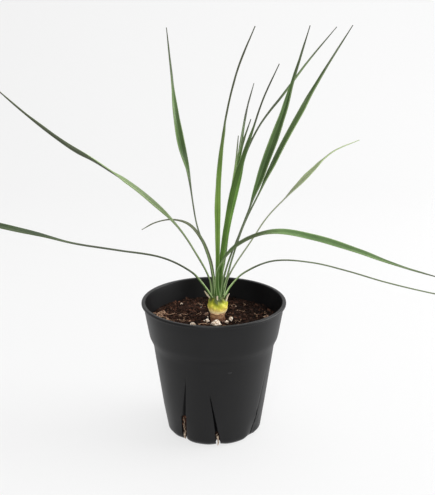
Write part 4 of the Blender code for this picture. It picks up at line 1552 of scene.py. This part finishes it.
          ((14, -1, 126), (25, 1, 137), (49, 4, 146.3), (81, 7, 144), (112, 11, 135.2), (143, 15, 124.6),
           (174, 18, 115.8), (213, 22, 106)),
          ((0, 3.2), (0.2, 3.9), (0.5, 4.5), (0.7, 3.9), (0.87, 2.2), (1, 0.7)),
          ((0, 0), (0.1, 2), (0.3, 4), (0.6, 7), (1, 8)),
          LeafTone.DARK, fold=((0, 30), (0.1, 18), (0.22, 14), (0.35, 5), (1, 5)),
          dry_and_shade=((0, 0.2), (0.06, 0.4), (0.12, 0.7), (0.8, 0.8), (1, 1)),
          light=((0, 1.1), (0.03, 1.9), (0.08, 1.8), (0.18, 0.75), (0.4, 1.3), (1, 1.7))),
)
STUBS = (
    Blade("stub_left", (-92, 6.7), ((-5.4, -1.6, 118.6), (-7.6, -2.2, 122.4)),
          ((0, 2.0), (0.4, 2.2), (1, 0.7)), ((0, 0), (1, -50)), LeafTone.DRY,
          columns=6, rows=24, thickness=0.6),
    Blade("stub_right", (72, 7.4), ((11.6, -3.4, 117.8), (12.9, -4.0, 120.8)),
          ((0, 3.0), (0.5, 3.6), (1, 0.9)), ((0, 0), (1, 30)), LeafTone.DRY,
          columns=6, rows=24, thickness=0.6),
    Blade("stub_front", (-3, 6.2), ((2.9, -7.3, 118.7), (3.3, -7.5, 119.8)),
          ((0, 1.0), (0.4, 1.4), (1, 1.3)), ((0, 0), (1, 10)), LeafTone.DRY,
          columns=6, rows=24, thickness=0.5),
)


@dataclass
class Litter:
    """What lies on the soil or looks out of the slots: pumice lumps, dry roots and root tips."""
    soil: SoilBed
    pot: SlitPot
    lumps: tuple[str, ...] = (
        "foot_large", "front_left", "left", "right", "far_right", "foot_left", "foot_right", "foot_back")
    dusty: tuple[str, ...] = ("left", "far_right", "foot_back")
    roots: dict[str, tuple[int, float, tuple[Triple, ...]]] = field(default_factory=lambda: {
        "left": (0, 1.0, ((0.9, -0.2, 8.0), (1.2, -0.6, 5.6), (1.5, -0.4, 3.2), (2.2, 0.2, 1.4))),
        "front": (1, 0.9, ((0.9, 0.0, 9.0), (1.2, 0.2, 6.0), (2.0, 0.0, 2.8), (5.0, -0.8, 1.2))),
        "right": (2, 0.7, ((0.2, 0.2, 11.0), (0.4, -0.3, 8.4), (0.5, 0.3, 5.6), (0.6, 0.4, 3.6))),
    })
    rootlets: tuple[tuple[int, float], ...] = ((0, 24.0), (0, 17.0), (1, 12.0))
    curl: tuple[Pair, ...] = ((-51, -3), (-46, -6.5), (-40.5, -6), (-38, -2), (-41, 1.5), (-46, 1),
                              (-47.5, -3), (-43.5, -9), (-37, -10))
    thread: tuple[Pair, ...] = ((-12.5, -15.2), (-10, -14), (-7.5, -15), (-5, -14), (-3.6, -14.6))
    grains: tuple[Triple, ...] = (  # each grain's x, y and radius
        (-28.5, 33.2, 1.3), (-4.7, 4.6, 0.9), (-11.0, 27.0, 0.6), (19.0, 30.0, 0.6), (-35.0, -8.0, 0.6),
        (33.0, -8.0, 0.5), (14.0, 2.0, 0.9), (8.0, -19.0, 0.8), (-8.0, -4.0, 0.7), (12.0, -6.0, 0.8))
    clump_at: Pair = (-47.0, 8.0)
    clump_roots: int = 13
    clump_steps: int = 8
    cuts: int = 16            # flat sides of a stone
    sharp: float = 35.0       # degrees from which its edges are drawn sharp

    def chip(self, piece: Piece, rng: random.Random) -> None:
        """Turns a ball round the origin into a stone, cut flat on many sides and pitted.

        Args:
            piece: The ball.
            rng: Source of its shape.
        """
        cuts = [(Vector([rng.gauss(0, 1) for _ in range(3)]).normalized(), rng.uniform(0.6, 0.95))
                for _ in range(self.cuts)]
        shift = Vector((rng.uniform(0, 50), 0.0, 0.0))
        for vertex in piece.data.vertices:
            ball = vertex.co.normalized()
            reach = min(min(depth / max(ball.dot(way), 0.01) for way, depth in cuts), 1.1)
            reach += 0.12 * noise.noise(ball * 2.6 + shift) - 0.10 * abs(noise.noise(ball * 7.0 + shift))
            vertex.co *= reach

    def build_lumps(self) -> None:
        """Makes each pumice lump in the space of its node. Its place in the list gives its shape."""
        for number, name in enumerate(self.lumps):
            low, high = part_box("pumice_" + name)
            deselect()
            bpy.ops.mesh.primitive_ico_sphere_add(subdivisions=5, radius=1.0)
            piece = named("pumice_lump_" + name)
            self.chip(piece, random.Random(number))
            points = [vertex.co.copy() for vertex in piece.data.vertices]
            start, end = [[pick(point[i] for point in points) for i in range(3)] for pick in (min, max)]
            for vertex in piece.data.vertices:
                share = [(vertex.co[i] - start[i]) / (end[i] - start[i]) for i in range(3)]
                vertex.co = [low[i] + (high[i] - low[i]) * share[i] for i in range(3)]
            smooth(piece, self.sharp)
            hang(piece, [DUSTY_PUMICE if name in self.dusty else PUMICE], "pumice", "pumice_" + name)

    def build_grains(self) -> None:
        """Scatters small grains of pumice at their places on the soil, joined as one piece."""
        rng = random.Random(9)
        parts = []
        for x, y, size in self.grains:
            deselect()
            bpy.ops.mesh.primitive_ico_sphere_add(subdivisions=3, radius=size * MM)
            part = named("grain")
            self.chip(part, rng)
            for vertex in part.data.vertices:
                vertex.co += Vector((x, y, self.soil.lie(x, y) + 0.7 * size)) * MM
            parts.append(part)
        piece = join("pumice_grains", parts)
        smooth(piece, self.sharp)
        hang(piece, [PUMICE], "pumice")

    def build_rootlets(self) -> None:
        """Threads fine dry roots down the first two slots."""
        rng = random.Random(3)
        parts = []
        for number, top in self.rootlets:
            route = []
            for step in range(9):
                height = top - (top - 2.0) * step / 8
                azimuth = self.pot.crease_azimuth(number, height) + rng.uniform(-1.6, 1.6)
                reach = self.pot.slot_wall(number, azimuth, height) - rng.uniform(0.2, 0.7)
                route.append(azimuth_point(azimuth, reach, height) / MM)
            fine = smooth_route(route, 5)
            parts.append(tube("slot_rootlet", fine, [0.24] * len(fine), 1))
        hang(join("slot_rootlets", parts), [SHADED_ROOT], "dry_root")

    def build_roots(self) -> None:
        """Makes the fleshy root tips in the slots."""
        for name, (number, radius, places) in self.roots.items():
            route = []
            for outwards, sideways, height in places:
                azimuth = self.pot.crease_azimuth(number, height)
                reach = self.pot.slot_wall(number, azimuth, height) - self.pot.wall - self.soil.gap
                spot = azimuth_point(azimuth, reach + outwards, height)
                route.append((spot + azimuth_point(azimuth + 90.0, sideways, 0.0)) / MM)
            fine = smooth_route(route, 10)
            last = len(fine) - 1
            radii = [radius * (1.0 - 0.5 * i / last) * (1.0 + 0.08 * math.sin(i * 1.9))
                     for i in range(last + 1)]
            radii[-1] *= 0.4
            piece = tube("root_tip_slot_" + name, fine, radii, 4)
            hang(piece, [SHADED_ROOT if number == 2 else FLESHY_ROOT], "root_tip", "root_slot_" + name)

    def build_fibre(self, name: str, places: Sequence[Pair], radius: float) -> None:
        """Lays one dry root along its node's route, in loops over the soil.

        Args:
            name: Its node's name after fibre.
            places: Its route on the soil.
            radius: Its radius.
        """
        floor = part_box("fibre_" + name)[0].z / MM
        points = [(x, y, floor + radius + 0.9 * (i % 3) / 2) for i, (x, y) in enumerate(places)]
        route = smooth_route(points, 12)
        radii = [radius * (0.8 + 0.2 * math.sin(i * 0.7)) for i in range(len(route))]
        hang(tube("dry_root_" + name, route, radii), [DRY_ROOT], "dry_root", "fibre_" + name)

    def build_clump(self) -> None:
        """Tangles dry roots into the clump at the left, over the curl."""
        rng = random.Random(5)
        parts = []
        for _ in range(self.clump_roots):
            x, y = self.clump_at[0] + rng.gauss(0, 3.0), self.clump_at[1] + rng.gauss(0, 6.0)
            heading, turn = rng.uniform(0, math.tau), rng.choice((-1, 1)) * rng.uniform(0.4, 0.9)
            top = rng.uniform(1.0, 4.0)
            lifts = [0.6 + top * math.sin(math.pi * i / self.clump_steps)
                     for i in range(self.clump_steps + 1)]
            places = self.soil.walk(rng, (x, y, heading), 2.0, (turn, 0.3), lifts, margin=1.0)
            if len(places) > 3:
                route = smooth_route(places, 5)
                parts.append(tube("clump", route, [rng.uniform(0.2, 0.42)] * len(route), 1))
        hang(join("root_clump", parts), [DRY_ROOT], "dry_root")

    def build(self) -> None:
        """Builds every piece of litter."""
        self.build_lumps()
        self.build_roots()
        self.build_fibre("curl", self.curl, 0.45)
        self.build_fibre("thread", self.thread, 0.4)
        self.build_clump()
        self.build_grains()
        self.build_rootlets()


@dataclass(frozen=True)
class Softbox:
    """One square soft light: its place, what it faces, its side in metres and its power in watts."""
    name: str
    place: Triple
    target: Triple
    side: float
    power: float

    def hang_up(self) -> None:
        """Hangs the light at its place and turns it to what it faces."""
        light = bpy.data.lights.new(self.name, "AREA")
        light.shape = "RECTANGLE"
        light.size = light.size_y = self.side
        light.energy = self.power
        box = bpy.data.objects.new(self.name, light)
        box.location = self.place
        box.rotation_euler = (Vector(self.target) - Vector(self.place)).to_track_quat("-Z", "Y").to_euler()
        bpy.context.scene.collection.objects.link(box)


@dataclass
class Studio:
    """Seamless paper, soft lights and the camera of the photograph, in metres and degrees.

    The lens and the sensor are in millimetres.
    """
    lens: float = 58.18
    sensor: float = 36.0
    eye: Triple = (0.00305, -0.6247, 0.3460)
    tilt: float = 73.35
    paper_half: float = 3.0
    paper_back: float = 1.6
    paper_bend: float = 0.7
    room: float = 0.2         # strength of the room's own light
    softboxes: tuple[Softbox, ...] = (
        Softbox("top_softbox", (0.4, 0.3, 1.8), (0.0, 0.0, 0.1), 2.6, 39.0),
        Softbox("right_softbox", (1.5, 0.2, 0.5), (0.0, 0.0, 0.1), 1.2, 36.0),
        Softbox("front_fill", (-0.15, -1.85, 0.95), (0.0, 0.0, 0.13), 0.9, 26.0))

    def build_camera(self) -> None:
        """Puts the camera where the photograph was taken from."""
        camera = bpy.data.cameras.new("camera")
        camera.lens = self.lens
        camera.sensor_width = self.sensor
        eye = bpy.data.objects.new("camera", camera)
        eye.location = self.eye
        eye.rotation_euler = (math.radians(self.tilt), 0.0, 0.0)
        bpy.context.scene.collection.objects.link(eye)
        bpy.context.scene.camera = eye

    def build_paper(self) -> None:
        """Lays the paper and bends it up behind the pot."""
        deselect()
        bpy.ops.mesh.primitive_plane_add(size=2 * self.paper_half, location=(0, 0, 0))
        paper = named("seamless_paper")
        for vertex in paper.data.vertices:
            if vertex.co.y > 0:
                vertex.co.y = self.paper_back
        edit("EDGE", "DESELECT")
        stop_editing()
        for edge in paper.data.edges:
            edge.select = all(paper.data.vertices[v].co.y > self.paper_back - 0.01 for v in edge.vertices)
        bpy.ops.object.mode_set(mode="EDIT")
        bpy.ops.mesh.extrude_region_move(TRANSFORM_OT_translate={"value": (0.0, 0.0, 2 * self.paper_half)})
        stop_editing()
        bend = paper.modifiers.new("bend", "BEVEL")
        bend.width = self.paper_bend
        bend.segments = 24
        bend.limit_method = "ANGLE"
        apply_modifiers(paper)
        smooth(paper, 60)
        paper.data.materials.append(StudioPaper().make())

    def build_light(self) -> None:
        """Hangs the softboxes and sets the room's own light."""
        for softbox in self.softboxes:
            softbox.hang_up()
        world = bpy.data.worlds.new("room")
        world.use_nodes = True
        sky = world.node_tree.nodes["Background"]
        sky.inputs["Color"].default_value = linear("#ffffff")
        sky.inputs["Strength"].default_value = self.room
        bpy.context.scene.world = world
        bpy.context.scene.view_settings.view_transform = "Standard"


def main() -> None:
    """Builds the studio, then the pot, the soil, the plant and what lies round it."""
    logging.basicConfig(level=logging.INFO, format="%(name)s: %(message)s")
    studio = Studio()
    studio.build_camera()
    studio.build_paper()
    studio.build_light()
    pot = SlitPot()
    pot.build()
    pot.build_mark()
    soil = SoilBed(pot)
    soil.build()
    soil.dress_top()
    stem = Stem()
    stem.build()
    for blade in LEAVES + STUBS:
        blade.build(stem)
    Litter(soil, pot).build()


if __name__ == "__main__":
    main()
